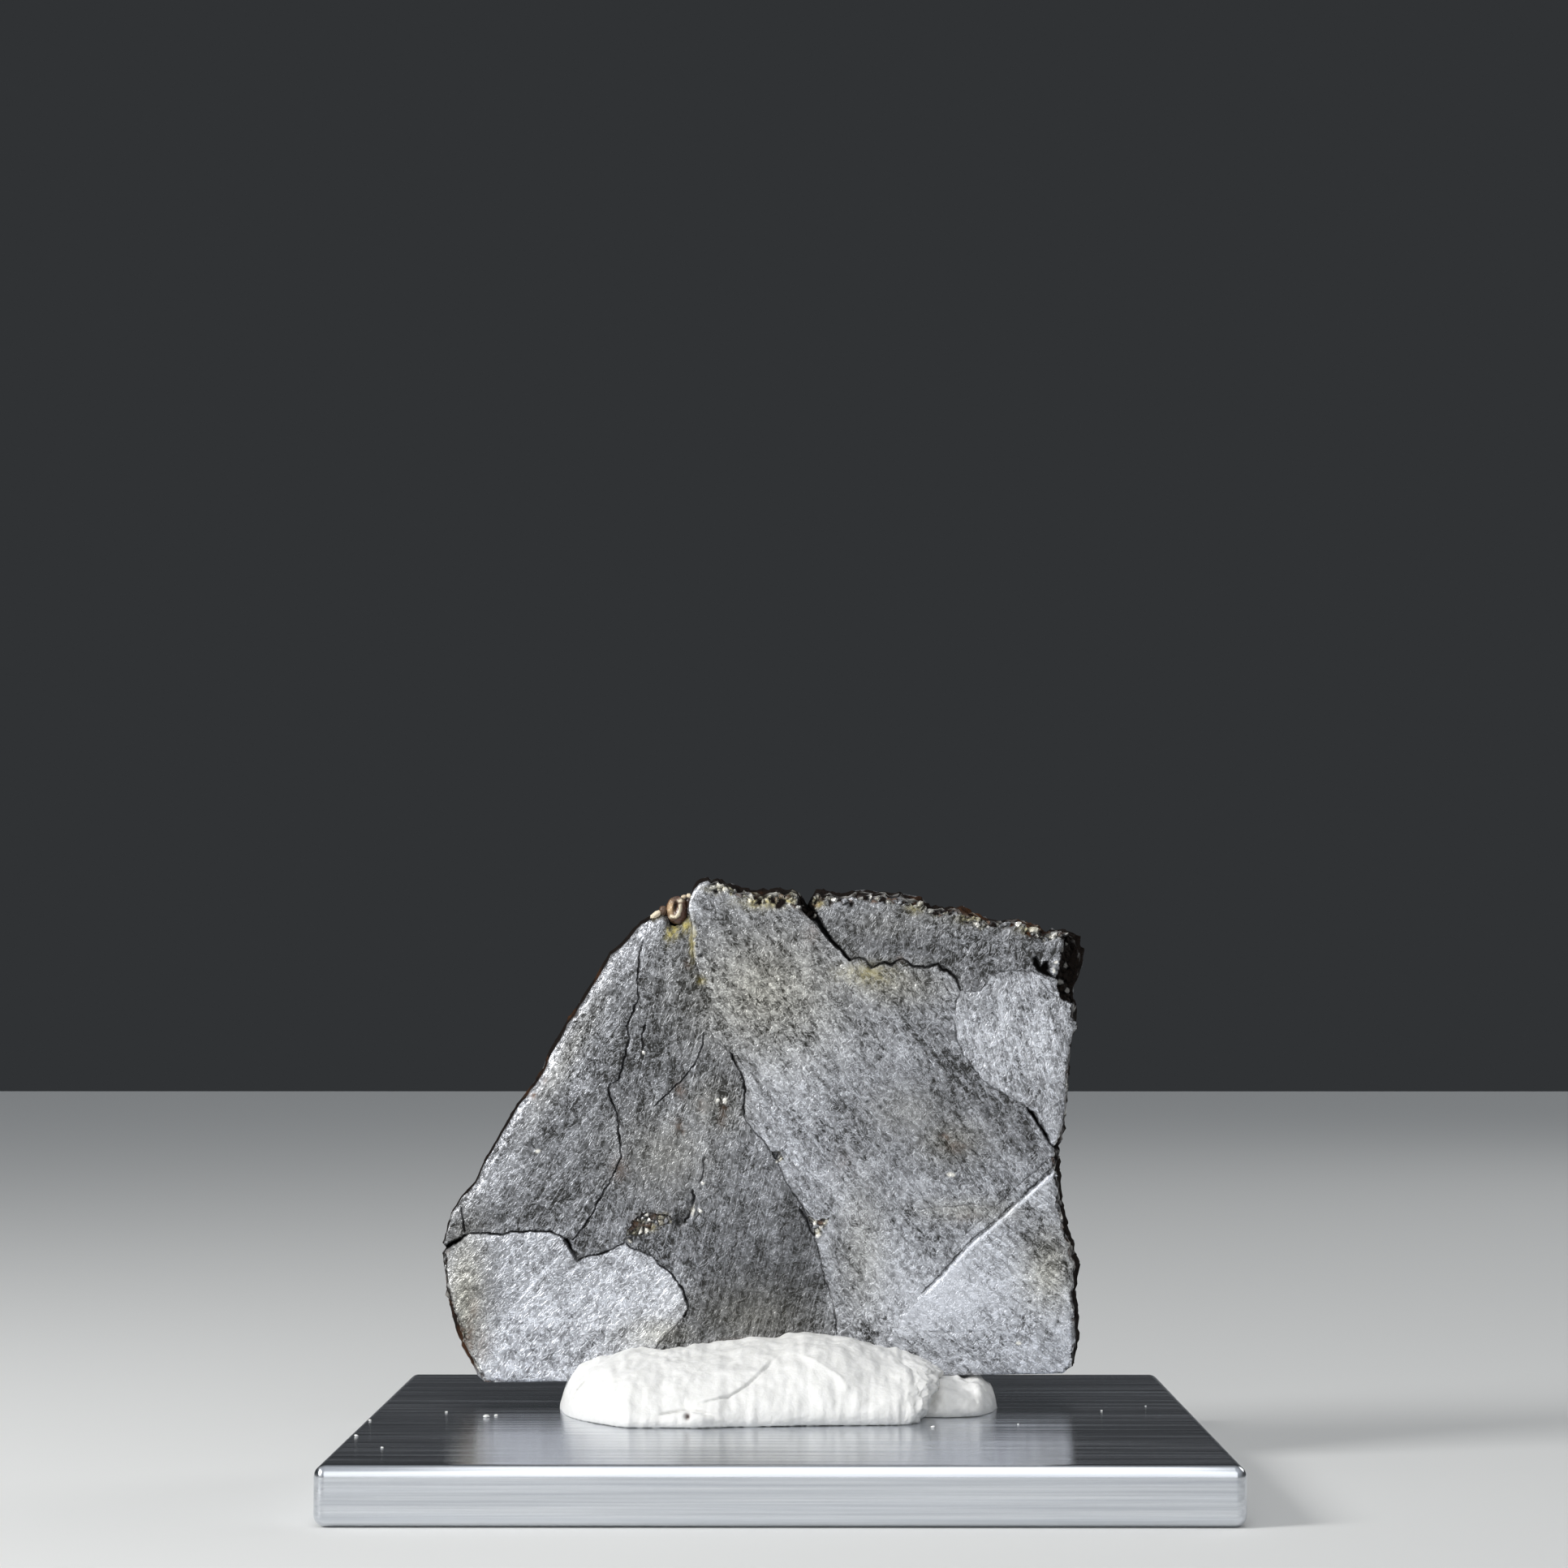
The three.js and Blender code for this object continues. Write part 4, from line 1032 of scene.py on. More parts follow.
# %% Add the layers up
change = {name: add_node(tree, "ShaderNodeMath", {"operation": "MULTIPLY_ADD"},
                         {0: noises[name], 1: strength, 2: -strength / 2}).outputs[0]
          for name, strength in STRENGTHS.items()}
bright_scratch = add_node(tree, "ShaderNodeMapRange", {}, {
    "Value": noises["scratches"], "From Min": 0.60, "From Max": 0.76, "To Max": 0.55}).outputs["Result"]
all_scratches = add_node(tree, "ShaderNodeMath", {"operation": "ADD"},
                         {0: change["scratches"], 1: bright_scratch})
scratching = add_node(tree, "ShaderNodeMath", {"operation": "MULTIPLY"},
                      {0: all_scratches.outputs[0], 1: stored["scratched"]}).outputs[0]
mottle = change["flecks"]
for layer in (curls, change["cells"], joints, scratching):
    mottle = add_node(tree, "ShaderNodeMath", {"operation": "ADD"}, {0: mottle, 1: layer}).outputs[0]
shade = mottle
for layer in (change["sheen"], change["clouds"]):
    shade = add_node(tree, "ShaderNodeMath", {"operation": "ADD"}, {0: shade, 1: layer}).outputs[0]

# %% Lightness of the metal: the grain's tone, with less change where it is nearly black or white
headroom = add_node(tree, "ShaderNodeMath", {"operation": "MULTIPLY_ADD"},
                    {0: stored["tone"], 1: -1.25, 2: 1.45}).outputs[0]
swing = stored["tone"]
for share in (headroom, stored["lively"]):
    swing = add_node(tree, "ShaderNodeMath", {"operation": "MULTIPLY"}, {0: swing, 1: share}).outputs[0]
lightness = add_node(tree, "ShaderNodeMath", {"operation": "MULTIPLY_ADD", "use_clamp": True},
                     {0: swing, 1: shade, 2: stored["tone"]}).outputs[0]
print("metal shading from", len(tree.nodes), "nodes")

# %% Colours of metal and crust: a cool and a mellow metal, a black and a rusty crust
pairs = {}
for name, value, dark_hex, light_hex in (
        ("cool", lightness, "3b3b3a", "e2e4ea"), ("mellow", lightness, "3a3831", "e6e3d6"),
        ("black_skin", noises["grit"], "080707", "241c17"), ("rusty_skin", noises["grit"], "170f0a", "5c3d27")):
    pairs[name] = add_node(tree, "ShaderNodeMix", {"data_type": "RGBA"}, {
        MIX_FACTOR: value, MIX_FIRST: linear(dark_hex), MIX_SECOND: linear(light_hex)}).outputs[MIX_RESULT]
ruddiness = add_node(tree, "ShaderNodeMath", {"operation": "MULTIPLY_ADD"},
                     {0: stored["ruddy"], 1: 0.5, 2: -0.25}).outputs[0]
rusting = add_node(tree, "ShaderNodeMath", {"operation": "ADD"}, {0: noises["patches"], 1: ruddiness})
rust_patch = add_node(tree, "ShaderNodeMapRange", {}, {
    "Value": rusting.outputs[0], "From Min": 0.46, "From Max": 0.66}).outputs["Result"]
skin = add_node(tree, "ShaderNodeMix", {"data_type": "RGBA"}, {
    MIX_FACTOR: rust_patch, MIX_FIRST: pairs["black_skin"], MIX_SECOND: pairs["rusty_skin"]})

# %% Painted glints, stains, crust and dark cracks, laid over the metal one by one
uneven_stain = add_node(tree, "ShaderNodeMapRange", {}, {
    "Value": noises["flecks"], "From Min": 0.40, "From Max": 0.55, "To Min": 0.35}).outputs["Result"]
yellow_share, rust_share = [add_node(tree, "ShaderNodeMath", {"operation": "MULTIPLY"},
                                     {0: uneven_stain, 1: stored[stain]}).outputs[0]
                            for stain in ("yellow", "rust")]
look = pairs["cool"]
# the glint colour is a painted highlight; the others are the metal's own tints, stains, crust and dark cracks
for share, cover in (
        (stored["warm"], pairs["mellow"]), (stored["glint"], linear("f6f3ea")),
        (yellow_share, linear("c6b766")), (rust_share, linear("5b4029")),
        (stored["crust"], skin.outputs[MIX_RESULT]), (stored["dark"], linear("0d0b0a"))):
    look = add_node(tree, "ShaderNodeMix", {"data_type": "RGBA"},
                    {MIX_FACTOR: share, MIX_FIRST: look, MIX_SECOND: cover}).outputs[MIX_RESULT]
tree.links.new(look, shader.inputs["Base Color"])

# %% Shine: bare metal is smooth and metallic, and oxide is rough and isn't
OXIDE_ROUGHNESS = 0.85

covered = add_node(tree, "ShaderNodeMath", {"operation": "MAXIMUM"},
                   {0: stored["crust"], 1: stored["dark"]}).outputs[0]
stained = add_node(tree, "ShaderNodeMath", {"operation": "MAXIMUM"},
                   {0: rust_share, 1: yellow_share}).outputs[0]
dulled = add_node(tree, "ShaderNodeMath", {"operation": "MULTIPLY_ADD", "use_clamp": True},
                  {0: stained, 1: 0.6, 2: covered}).outputs[0]
metallic = add_node(tree, "ShaderNodeMath", {"operation": "SUBTRACT", "use_clamp": True},
                    {0: 1.0, 1: dulled}).outputs[0]
tree.links.new(metallic, shader.inputs["Metallic"])
lap_roughness = add_node(tree, "ShaderNodeMapRange", {}, {
    "Value": noises["flecks"], "From Min": 0.3, "From Max": 0.7,
    "To Min": 0.52, "To Max": 0.36}).outputs["Result"]
roughness = add_node(tree, "ShaderNodeMix", {"data_type": "FLOAT"},
                     {"Factor": dulled, 2: lap_roughness, 3: OXIDE_ROUGHNESS}).outputs[0]
tree.links.new(roughness, shader.inputs["Roughness"])
sheen_level = add_node(tree, "ShaderNodeMath", {"operation": "MULTIPLY_ADD", "use_clamp": True},
                       {0: covered, 1: -0.42, 2: 0.5}).outputs[0]
tree.links.new(sheen_level, shader.inputs["Specular IOR Level"])

# %% Relief too fine for the mesh: the lapped face and the gritty crust, in mm
FACE_RELIEF = 0.03
CRUST_RELIEF = 0.25

face_relief = add_node(tree, "ShaderNodeBump", {}, {
    "Height": mottle, "Strength": 0.55, "Distance": FACE_RELIEF * MM})
crust_height = add_node(tree, "ShaderNodeMath", {"operation": "MULTIPLY"},
                        {0: noises["grit"], 1: stored["crust"]}).outputs[0]
relief = add_node(tree, "ShaderNodeBump", {}, {
    "Height": crust_height, "Strength": 1.0, "Distance": CRUST_RELIEF * MM,
    "Normal": face_relief.outputs["Normal"]})
tree.links.new(relief.outputs["Normal"], shader.inputs["Normal"])
slice_data.materials.append(iron)
print("iron material:", len(tree.nodes), "nodes")

# %% [markdown]
# ## The nodule in the notch
# A small curl of oxide sits in the notch at the top left, where a mineral grain weathered out. It is a
# ball pressed oval, with a hollow in its front that leaves a raised ring.

# %% Nodule
NODULE_MIDDLE = (834, 1122)
NODULE_RADII = (0.80, 0.60, 1.00)
NODULE_DEPTH = 0.45
HOLE = ((832, 1117), (2.0, 6.5), -14)
CREAM_RIDGE = [(838, 1116), (838, 1121), (836, 1127), (832, 1131), (826, 1130)]
TAN_LOBE = ((825.5, 1120), (4.2, 9.0), 0)
# a raised crest with a painted glint, laid on in the cream colour
GLINT_CREST = ((838, 1110), (3.6, 1.8), 0)
DARK_BAND = ((845, 1122), (3.4, 12.0), 0)
NODULE_BITS = [
    # place, radii in mm, turn in degrees, how tan, how cream, how dark: small crumbs around the nodule
    ((842, 1105.5), (0.22, 0.20, 0.15), 20, 0.5, 0.5, 0.0),
    ((848.5, 1104.5), (0.17, 0.20, 0.21), 30, 0.3, 0.8, 0.0),
    ((817, 1122), (0.34, 0.30, 0.34), 30, 0.1, 0.0, 0.2),
    ((808, 1127), (0.50, 0.30, 0.22), 30, 0.2, 0.9, 0.0), ((836, 1136), (0.36, 0.30, 0.22), 0, 0.0, 0.0, 0.4),
    ((848, 1113), (0.20, 0.24, 0.50), 0, 0.0, 0.0, 0.7),
]

# %% Shape the nodule: a ball with a hollow and raised parts in front, and drawn out at its rear
HOLE_DEPTH, RIDGE_HEIGHT, TAN_HEIGHT, CREST_HEIGHT, BAND_DEPTH = 0.40, 0.13, 0.12, 0.08, 0.10
REAR_WIDTH, REAR_LENGTH = 0.25, 2.2

nodule_shape = bmesh.new()
bmesh.ops.create_icosphere(nodule_shape, subdivisions=6, radius=1.0)
middle = traced([NODULE_MIDDLE])[0]
ball = np.array([v.co for v in nodule_shape.verts])
seen = middle + ball[:, [0, 2]] * (NODULE_RADII[0], NODULE_RADII[2])
facing = ball[:, 1] < 0
hole = blob(seen, *HOLE) * facing
ridge_distance = near_path(seen, traced(CREAM_RIDGE))[0]
ridge = np.clip(1.3 - ridge_distance / 0.14, 0, 1) * facing
tan_lobe = blob(seen, *TAN_LOBE) * facing
crest = blob(seen, *GLINT_CREST) * facing
band = blob(seen, *DARK_BAND) * facing
lump = 0.10 * uneven(ball, 0.5, 9, 3)
depth_in = (HOLE_DEPTH * hole - RIDGE_HEIGHT * ridge - TAN_HEIGHT * tan_lobe - CREST_HEIGHT * crest
            + BAND_DEPTH * band)
for i, corner in enumerate(nodule_shape.verts):
    rear = max(0, ball[i, 1])
    x, z = middle + (seen[i] - middle) * (1 + lump[i] + REAR_WIDTH * rear)
    drawn_out = ball[i, 1] * NODULE_RADII[1] * (1 + lump[i] + REAR_LENGTH * rear)
    y = slice_low.y / MM + NODULE_DEPTH + drawn_out + depth_in[i]
    corner.co = Vector((x, y, z)) * MM
# the cream share also carries the crest's painted glint
nodule_shades = {"cream_and_glint": np.maximum(ridge, crest), "tan": tan_lobe,
                 "hollow": np.maximum(hole ** 1.5, 0.5 * band)}

# %% Add the small bits around it, and store how tan, cream and hollow each corner is
for place, radii, turn, tan, cream_and_glint, dark_share in NODULE_BITS:
    made = bmesh.ops.create_icosphere(nodule_shape, subdivisions=4, radius=1.0)
    x, z = traced([place])[0]
    tilt = Matrix.Rotation(math.radians(-turn), 3, "Y")
    for corner in made["verts"]:
        rough = 1 + 0.18 * noise.fractal(corner.co * 1.6 + Vector((x, 0, z)), 1.0, 2.0, 3)
        corner.co = (tilt @ Vector([corner.co[i] * radii[i] for i in range(3)]) * rough
                     + Vector((x, slice_low.y / MM + NODULE_DEPTH, z))) * MM
    for name, value in (("cream_and_glint", cream_and_glint), ("tan", tan), ("hollow", dark_share)):
        nodule_shades[name] = np.append(nodule_shades[name], np.full(len(made["verts"]), value))
nodule_data = bpy.data.meshes.new("nodule")
nodule_shape.to_mesh(nodule_data)
nodule_shape.free()
for name, values in nodule_shades.items():
    layer = nodule_data.attributes.new(name, "FLOAT", "POINT")
    layer.data.foreach_set("value", np.clip(values, 0, 1).astype(np.float32))
nodule_data.shade_smooth()
nodule = bpy.data.objects.new("nodule", nodule_data)
bpy.context.collection.objects.link(nodule)
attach(nodule, "root")
print("nodule:", len(nodule_data.polygons), "triangles")

# %% [markdown]
# ## Glossy iron oxide
# The nodule is oxide that grew in layers and was polished with the slice. It has brown bands, a tan lobe and
# a cream ridge, and a painted glint on its crest. A smooth surface gives it the wet-looking shine that sets it
# off from the dull crust.

# %% Oxide material
OXIDE_BAND = 0.4

oxide, tree, shader = new_material("glossy_iron_oxide")
place = add_node(tree, "ShaderNodeTexCoord").outputs["Object"]
bands = add_node(tree, "ShaderNodeTexNoise", {}, {
    "Vector": place, "Scale": PER_METRE / OXIDE_BAND, "Detail": 3.0, "Distortion": 0.8}).outputs["Fac"]
layered = add_node(tree, "ShaderNodeMix", {"data_type": "RGBA"}, {
    MIX_FACTOR: bands, MIX_FIRST: linear("1d110d"), MIX_SECOND: linear("6b4b3a")}).outputs[MIX_RESULT]
# the cream colour covers the ridge and some bits, and is a painted glint on the crest
for name, hex_colour in (("tan", "c0a480"), ("cream_and_glint", "e9dcc2"), ("hollow", "140b08")):
    share = add_node(tree, "ShaderNodeAttribute", {"attribute_name": name}).outputs["Fac"]
    layered = add_node(tree, "ShaderNodeMix", {"data_type": "RGBA"}, {
        MIX_FACTOR: share, MIX_FIRST: layered, MIX_SECOND: linear(hex_colour)}).outputs[MIX_RESULT]
tree.links.new(layered, shader.inputs["Base Color"])
shader.inputs["Roughness"].default_value = 0.28
nodule_data.materials.append(oxide)
print("oxide material:", len(tree.nodes), "nodes")

# %% [markdown]
# ## The putty
# White adhesive putty is rolled by hand and pushed down, so it is a low lump with steep soft sides, thumb
# dents and a fold where the roll closed on itself. It starts as a ball drawn out to the reach that the lump
# has at each place from left to right. The slice stands in it.

# %% Putty lumps: place along x, reach to the front, reach to the back and height, in mm
PUTTY_MIDDLE_Y = (slice_low.y + slice_high.y) / 2 / MM
PLATE_TOP = plate_high.z / MM
MAIN_LUMP = [
    (-16.3, 0, 0, 0), (-15.9, 4.5, 3.6, 1.8), (-15, 7.6, 5.4, 2.9), (-13.4, 10.4, 6.8, 3.9),
    (-11, 13.6, 7.4, 4.3), (-6, 13.8, 7.6, 4.7), (-1, 12.8, 7.8, 5.2), (2, 12.3, 7.6, 5.7),
    (4.5, 12.2, 7.2, 5.4), (7, 12, 6.8, 4.7), (9.4, 11.8, 6, 4.2), (10.8, 11.2, 5, 3.7),
    (11.7, 10.0, 4, 3.1), (12.1, 0, 0, 0),
]
LOW_LUMP = [
    (4, 0, 0, 0), (5, 5, 4, 1.8), (9, 7.0, 6.2, 2.6), (12, 7.2, 6, 2.6), (14.2, 6.2, 4.8, 2.4),
    (15.3, 3.6, 3, 1.6), (15.8, 0, 0, 0),
]
print("putty from", MAIN_LUMP[0][0], "to", LOW_LUMP[-1][0], "mm")

# %% Creases on the main lump, as columns and rows of the picture
PUTTY_CREASES = [
    # path, width, depth in mm, lip in mm
    ([(962, 1662), (957, 1667), (946, 1678), (935, 1689), (917, 1704), (898, 1715), (878, 1720),
      (855, 1724)], 1.4, 0.14, 0.08),
    ([(812, 1739), (830, 1735), (845, 1733), (862, 1735), (882, 1741)], 2.6, 0.25, 0.16),
    ([(703, 1724), (712, 1706), (722, 1696), (738, 1690)], 3.0, 0.12, -0.10),
    ([(983, 1663), (1010, 1677), (1037, 1694), (1050, 1712)], 5.0, -0.14, 0.05),
    ([(1104, 1668), (1120, 1682), (1126, 1700)], 4.0, 0.10, 0.06),
]
PUTTY_PIT = ((848, 1740), (3.0, 4.5), 0.6)
UNDERCUT = 0.5
# The right end leans out over its foot and is torn: where it starts, its lean and its unevenness, in mm
TORN_END = (8.2, 1.9, 0.45)


# %% Helpers for the lumps
def seen_by_camera(places):
    """Columns and rows of the picture for places in mm."""
    away = places[:, 1] - CAMERA_PLACE.y / MM
    column = VANISHING_COLUMN + (places[:, 0] - CAMERA_PLACE.x / MM) * FOCAL_LENGTH_IN_PIXELS / away
    row = HORIZON_ROW - (places[:, 2] - CAMERA_PLACE.z / MM) * FOCAL_LENGTH_IN_PIXELS / away
    return np.column_stack([column, row])


def softened(values, reach):
    """Values along a line, with their corners rounded off."""
    kernel = np.hanning(2 * reach + 1)
    return np.convolve(np.pad(values, reach, mode="edge"), kernel / kernel.sum(), mode="valid")


# %% One lump of putty
DENT, STRETCH_MARK, FINE_DENT, CRUMPLE = 0.26, 0.14, 0.035, 0.34
LIP_REACH = 22
TORN_LENGTH, TORN_HEIGHT = 3.2, 3.2
FOOT_HEIGHT = 0.35


def putty_lump(name, stations, sides, rings, creased):
    """A ball whose rings are drawn out to the stations' reach, dented and creased, flat on the plate."""
    shape = bmesh.new()
    bmesh.ops.create_uvsphere(shape, u_segments=sides, v_segments=rings, radius=1.0)
    along, *reaches = np.array(stations, float).T
    steps = np.linspace(along[0], along[-1], 261)
    front, rear, height = [1.03 * softened(np.interp(steps, along, reach), 6) for reach in reaches]
    ball = np.array([v.co for v in shape.verts])
    x = (along[0] + along[-1]) / 2 + np.clip(ball[:, 2], -1, 1) * (along[-1] - along[0]) / 2
    ring = np.maximum(np.hypot(ball[:, 0], ball[:, 1]), 1e-6)
    upper = (np.arctan2(ball[:, 1], ball[:, 0]) + math.pi) / 2
    across, up = np.cos(upper) * np.sign(ring - 1e-5), np.sin(upper) * (ring > 2e-5)
    reach = np.where(across < 0, np.interp(x, steps, front), np.interp(x, steps, rear))
    places = np.column_stack([x, PUTTY_MIDDLE_Y + across * reach, PLATE_TOP + up * np.interp(x, steps, height)])

    dent = DENT * uneven(places, 3.2, 11, 2) + STRETCH_MARK * uneven(places * (1, 0.4, 0.28), 0.9, 12, 2)
    dent += FINE_DENT * uneven(places, 0.6, 13, 3)
    if not creased:
        dent += CRUMPLE * uneven(places, 1.5, 22, 3)
    pit = np.zeros(len(places))
    if creased:
        picture = seen_by_camera(places)
        facing = (across < 0.1).astype(float)
        for path, width, depth, lip in PUTTY_CREASES:
            distance, part, side = near_path(picture, np.array(path, float))
            fade = np.clip(np.minimum(part, 1 - part) * 5 + 0.15, 0, 1) * facing
            dent -= depth * fade * np.exp(-(distance / width) ** 2)
            dent += lip * fade * side * np.exp(-distance / LIP_REACH)
        (column, row), (wide, tall), depth = PUTTY_PIT
        pit = np.exp(-((picture[:, 0] - column) / wide) ** 2 - ((picture[:, 1] - row) / tall) ** 2) * facing
        dent -= depth * pit
        from_x, lean, torn = TORN_END
        share = np.clip((places[:, 0] - from_x) / TORN_LENGTH, 0, 1)
        climb = np.clip((places[:, 2] - PLATE_TOP) / TORN_HEIGHT, 0, 1)
        places[:, 0] += share * (torn * uneven(places, 0.9, 14, 3) - lean * (1 - climb))
    low = np.exp(-(places[:, 2] - PLATE_TOP) / FOOT_HEIGHT)
    outward = dent * (1 - 0.6 * low) - UNDERCUT * low
    places[:, 1] += across * outward
    places[:, 2] = np.maximum(PLATE_TOP, places[:, 2] + up * outward)
    for corner, place in zip(shape.verts, places):
        corner.co = Vector(place) * MM
    bmesh.ops.recalc_face_normals(shape, faces=shape.faces[:])
    data = bpy.data.meshes.new(name)
    shape.to_mesh(data)
    shape.free()
    layer = data.attributes.new("pit", "FLOAT", "POINT")
    layer.data.foreach_set("value", pit.astype(np.float32))
    data.shade_smooth()
    lump = bpy.data.objects.new(name, data)
    bpy.context.collection.objects.link(lump)
    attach(lump, "root")
    print(name, len(data.polygons), "faces")
    return lump


# %% The two lumps
main_lump = putty_lump("putty_main_lump", MAIN_LUMP, 220, 320, creased=True)
low_lump = putty_lump("putty_low_lump", LOW_LUMP, 110, 120, creased=False)
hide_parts("putty")

# %% [markdown]
# ## Crumbs of putty
# Kneading leaves a few tiny crumbs on the plate. Each is a small ball made uneven, and they share one mesh,
# because they are too small to be pieces of their own.

# %% Crumbs of putty on the plate: column and row of the picture, and size in mm
CRUMBS = [
    (443, 1765, 0.20), (460, 1746, 0.16), (475, 1779, 0.15), (553, 1736, 0.14), (602, 1742, 0.30),
    (614, 1740, 0.18), (1148, 1754, 0.20), (1252, 1750, 0.10), (1354, 1734, 0.11), (1408, 1728, 0.10),
]
crumb_shape = bmesh.new()
for i, (column, row, size) in enumerate(CRUMBS):
    away = (CAMERA_PLACE.z / MM - PLATE_TOP) * FOCAL_LENGTH_IN_PIXELS / (row - HORIZON_ROW)
    x = CAMERA_PLACE.x / MM + (column - VANISHING_COLUMN) * away / FOCAL_LENGTH_IN_PIXELS
    y = CAMERA_PLACE.y / MM + away
    made = bmesh.ops.create_icosphere(crumb_shape, subdivisions=2, radius=size / 2)
    for corner in made["verts"]:
        bump = 1 + 0.5 * noise.noise(corner.co * 9 + Vector((i * 3.7, 0, 0)))
        corner.co = Vector((x + corner.co.x * bump * 1.5, y + corner.co.y * bump,
                            PLATE_TOP + size * 0.4 + corner.co.z * bump * 0.8)) * MM
crumb_data = bpy.data.meshes.new("putty_crumbs")
crumb_shape.to_mesh(crumb_data)
crumb_shape.free()
crumb_data.shade_smooth()
putty_crumbs = bpy.data.objects.new("putty_crumbs", crumb_data)
bpy.context.collection.objects.link(putty_crumbs)
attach(putty_crumbs, "root")
print("putty crumbs:", len(CRUMBS))

# %% [markdown]
# ## White adhesive putty
# Adhesive putty is a soft rubbery dough, kneaded and pressed by hand. It is white and nearly matte, and light
# goes a little way into it, which softens its shadows. Fine dimples from the fingers keep it from looking
# like plaster, and one small pit holds dirt.

# %% Putty material
DIMPLE = 0.9
DIMPLE_DEPTH = 0.15

putty, tree, shader = new_material("white_adhesive_putty")
place = add_node(tree, "ShaderNodeTexCoord").outputs["Object"]
dimples = add_node(tree, "ShaderNodeTexNoise", {}, {
    "Vector": place, "Scale": PER_METRE / DIMPLE, "Detail": 5.0, "Roughness": 0.6}).outputs["Fac"]
putty_colour = add_node(tree, "ShaderNodeMix", {"data_type": "RGBA"},
                        {MIX_FACTOR: dimples, MIX_FIRST: linear("dbdad6"), MIX_SECOND: linear("e9e8e5")})
pit_share = add_node(tree, "ShaderNodeAttribute", {"attribute_name": "pit"}).outputs["Fac"]
grimed = add_node(tree, "ShaderNodeMix", {"data_type": "RGBA"},
                  {MIX_FACTOR: pit_share, MIX_FIRST: putty_colour.outputs[MIX_RESULT],
                   MIX_SECOND: linear("4a2f26")})
tree.links.new(grimed.outputs[MIX_RESULT], shader.inputs["Base Color"])
shader.inputs["Roughness"].default_value = 0.5
shader.inputs["Subsurface Weight"].default_value = 0.15
shader.inputs["Subsurface Radius"].default_value = (0.6 * MM, 0.6 * MM, 0.5 * MM)
putty_relief = add_node(tree, "ShaderNodeBump", {}, {
    "Height": dimples, "Strength": 0.7, "Distance": DIMPLE_DEPTH * MM})
tree.links.new(putty_relief.outputs["Normal"], shader.inputs["Normal"])
for lump in (main_lump, low_lump, putty_crumbs):
    lump.data.materials.append(putty)
print("putty material:", len(tree.nodes), "nodes")

# %% [markdown]
# ## The plate
# The plate is cut from flat aluminium bar, and its edges are rounded. It is a cube drawn out to the plate's
# box, with every edge bevelled. Rounded edges catch a bright line of light, and that line is what makes the
# metal look solid. Only the rounded faces are shaded smooth, so that the flat ones stay flat mirrors.

# %% Plate
EDGE_RADIUS = 0.8
EDGE_SEGMENTS = 12

plate_shape = bmesh.new()
bmesh.ops.create_cube(plate_shape, size=1.0)
bmesh.ops.scale(plate_shape, vec=(plate_high - plate_low), verts=plate_shape.verts[:])
bmesh.ops.translate(plate_shape, vec=(plate_high + plate_low) / 2, verts=plate_shape.verts[:])
bmesh.ops.bevel(plate_shape, geom=plate_shape.edges[:], offset=EDGE_RADIUS * MM, offset_type="OFFSET",
                affect="EDGES", segments=EDGE_SEGMENTS, profile=0.5, material=-1)
for face in plate_shape.faces:
    face.smooth = max(abs(share) for share in face.normal) < 0.9999
plate_data = bpy.data.meshes.new("brushed_plate")
plate_shape.to_mesh(plate_data)
plate_shape.free()
brushed_plate = bpy.data.objects.new("brushed_plate", plate_data)
bpy.context.collection.objects.link(brushed_plate)
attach(brushed_plate, "root")
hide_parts("base_plate")
print("plate:", len(plate_data.polygons), "faces")

# %% [markdown]
# ## Brushed aluminium
# The bar was brushed in long straight lines with an abrasive belt. The lines smear a reflection across
# them, so it is drawn out into columns, and bands of coarser and finer brushing show as light and dark
# streaks. A noise stretched along the plate gives the lines, and an anisotropic shine gives the smear. The
# real lines are finer than a tenth of a millimetre and are drawn coarser here, so that they show.

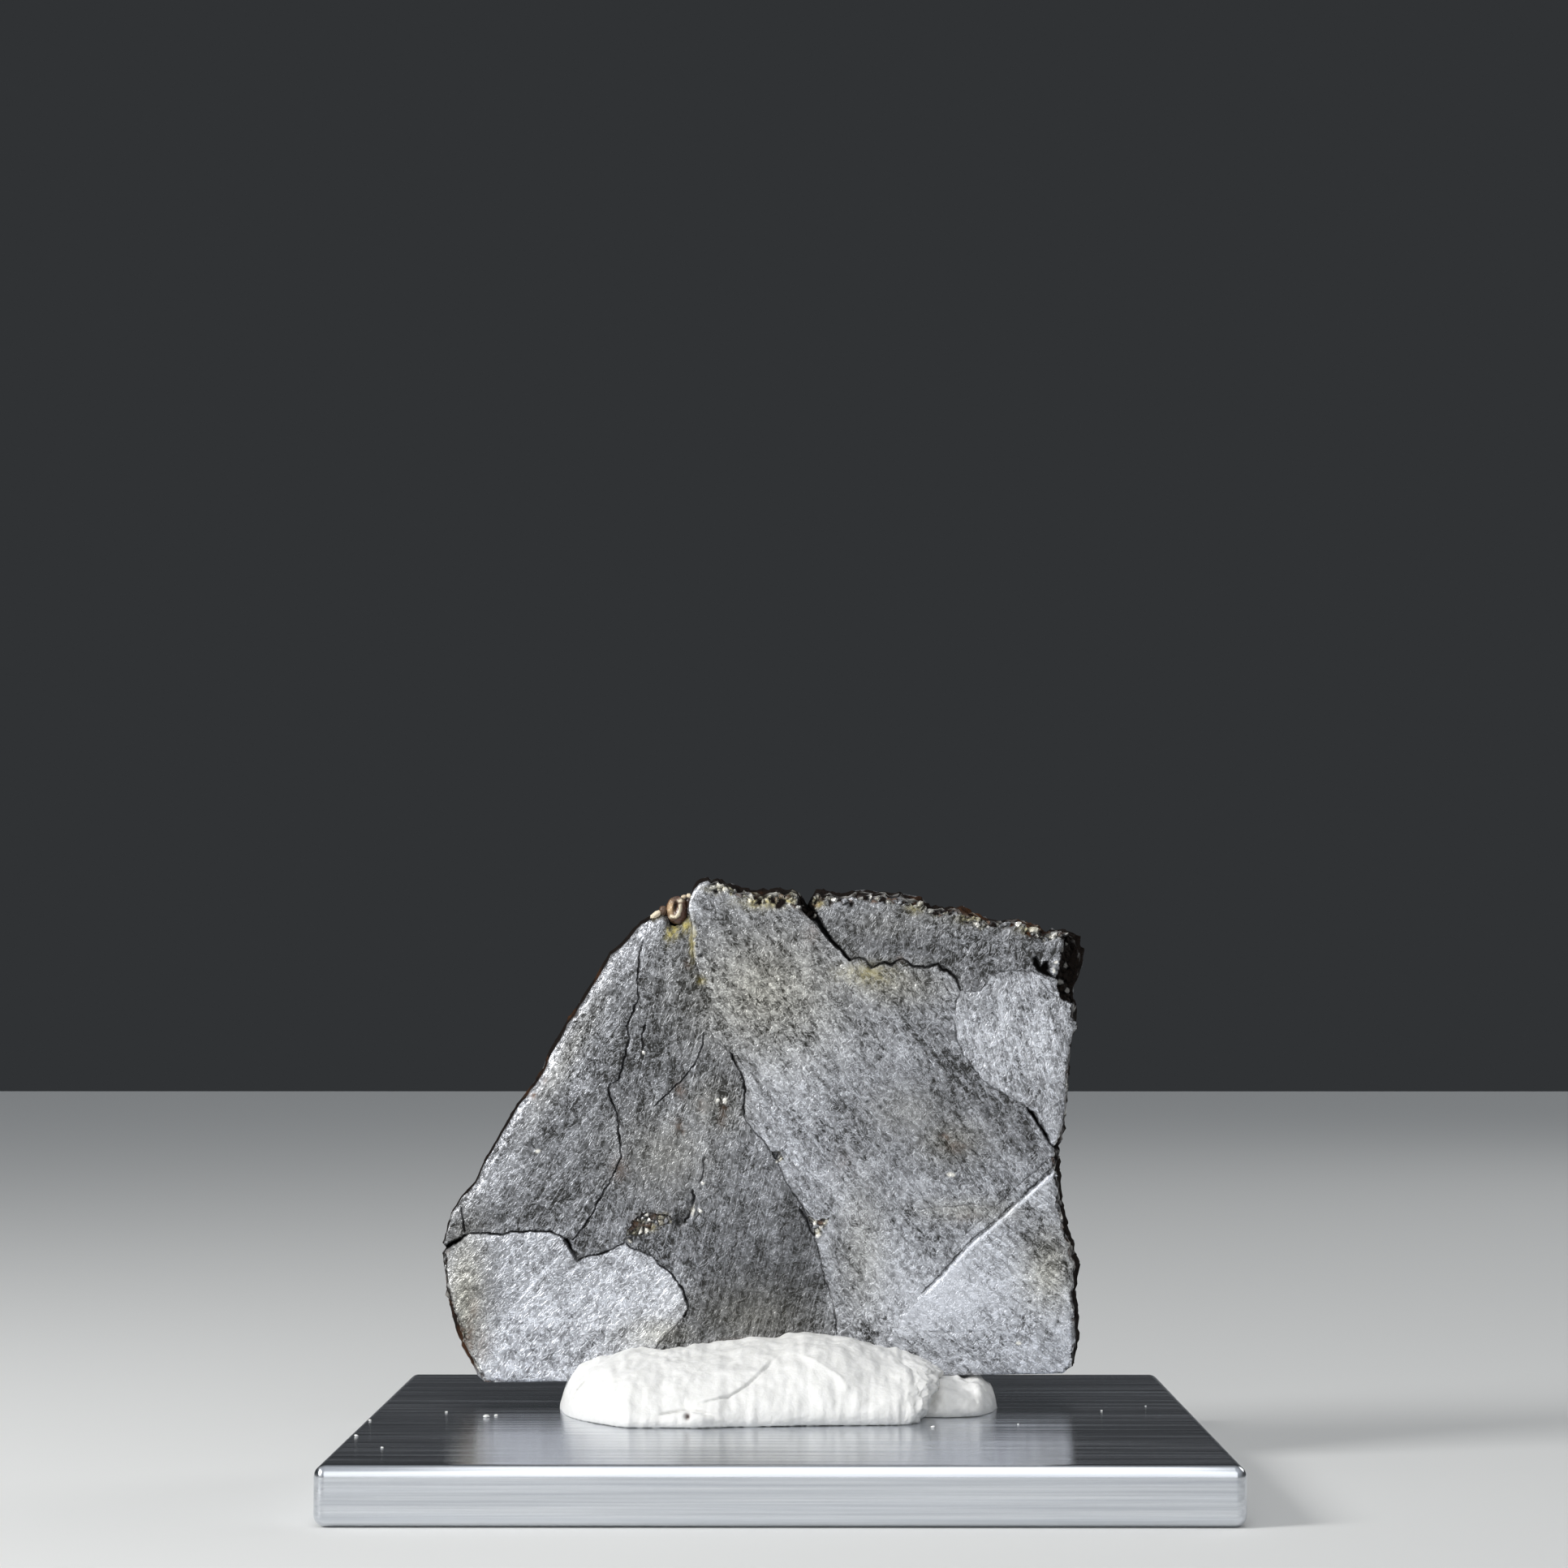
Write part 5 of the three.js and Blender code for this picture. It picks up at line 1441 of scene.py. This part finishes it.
# %% Aluminium material
BRUSH_LENGTH = 30.0
BRUSH_WIDTH = 0.22
BAND_LENGTH = 34.0
BAND_WIDTH = 0.7
BRUSH_DEPTH = 0.012
# Turned a little off the x axis, so that the end faces have a direction of brushing too
BRUSHED_ALONG = (1.0, 0.03, 0.0)

aluminium, tree, shader = new_material("brushed_aluminium")
place = add_node(tree, "ShaderNodeTexCoord").outputs["Object"]
lines = []
for length, width in ((BRUSH_LENGTH, BRUSH_WIDTH), (BAND_LENGTH, BAND_WIDTH)):
    drawn = add_node(tree, "ShaderNodeMapping", {}, {
        "Vector": place, "Scale": (PER_METRE / length, PER_METRE / width, PER_METRE / width)})
    lines.append(add_node(tree, "ShaderNodeTexNoise", {}, {
        "Vector": drawn.outputs["Vector"], "Scale": 1.0, "Detail": 4.0, "Roughness": 0.7}).outputs["Fac"])
brush, bands = lines
streaks = add_node(tree, "ShaderNodeMapRange", {}, {
    "Value": brush, "From Min": 0.3, "From Max": 0.7}).outputs["Result"]
band_roughness = add_node(tree, "ShaderNodeMapRange", {}, {
    "Value": bands, "From Min": 0.35, "From Max": 0.70, "To Min": 0.13, "To Max": 0.25}).outputs["Result"]
brush_colour = add_node(tree, "ShaderNodeMix", {"data_type": "RGBA"},
                        {MIX_FACTOR: streaks, MIX_FIRST: linear("c6cad1"), MIX_SECOND: linear("e8ebef")})
tree.links.new(brush_colour.outputs[MIX_RESULT], shader.inputs["Base Color"])
shader.inputs["Metallic"].default_value = 1.0
tree.links.new(band_roughness, shader.inputs["Roughness"])
facing = add_node(tree, "ShaderNodeNewGeometry").outputs["Normal"]
across_brush = add_node(tree, "ShaderNodeVectorMath", {"operation": "CROSS_PRODUCT"},
                        {0: facing, 1: BRUSHED_ALONG}).outputs["Vector"]
tree.links.new(across_brush, shader.inputs["Tangent"])
shader.inputs["Anisotropic"].default_value = 0.85
brush_relief = add_node(tree, "ShaderNodeBump", {}, {
    "Height": brush, "Strength": 0.35, "Distance": BRUSH_DEPTH * MM})
tree.links.new(brush_relief.outputs["Normal"], shader.inputs["Normal"])
plate_data.materials.append(aluminium)
print("aluminium material:", len(tree.nodes), "nodes")
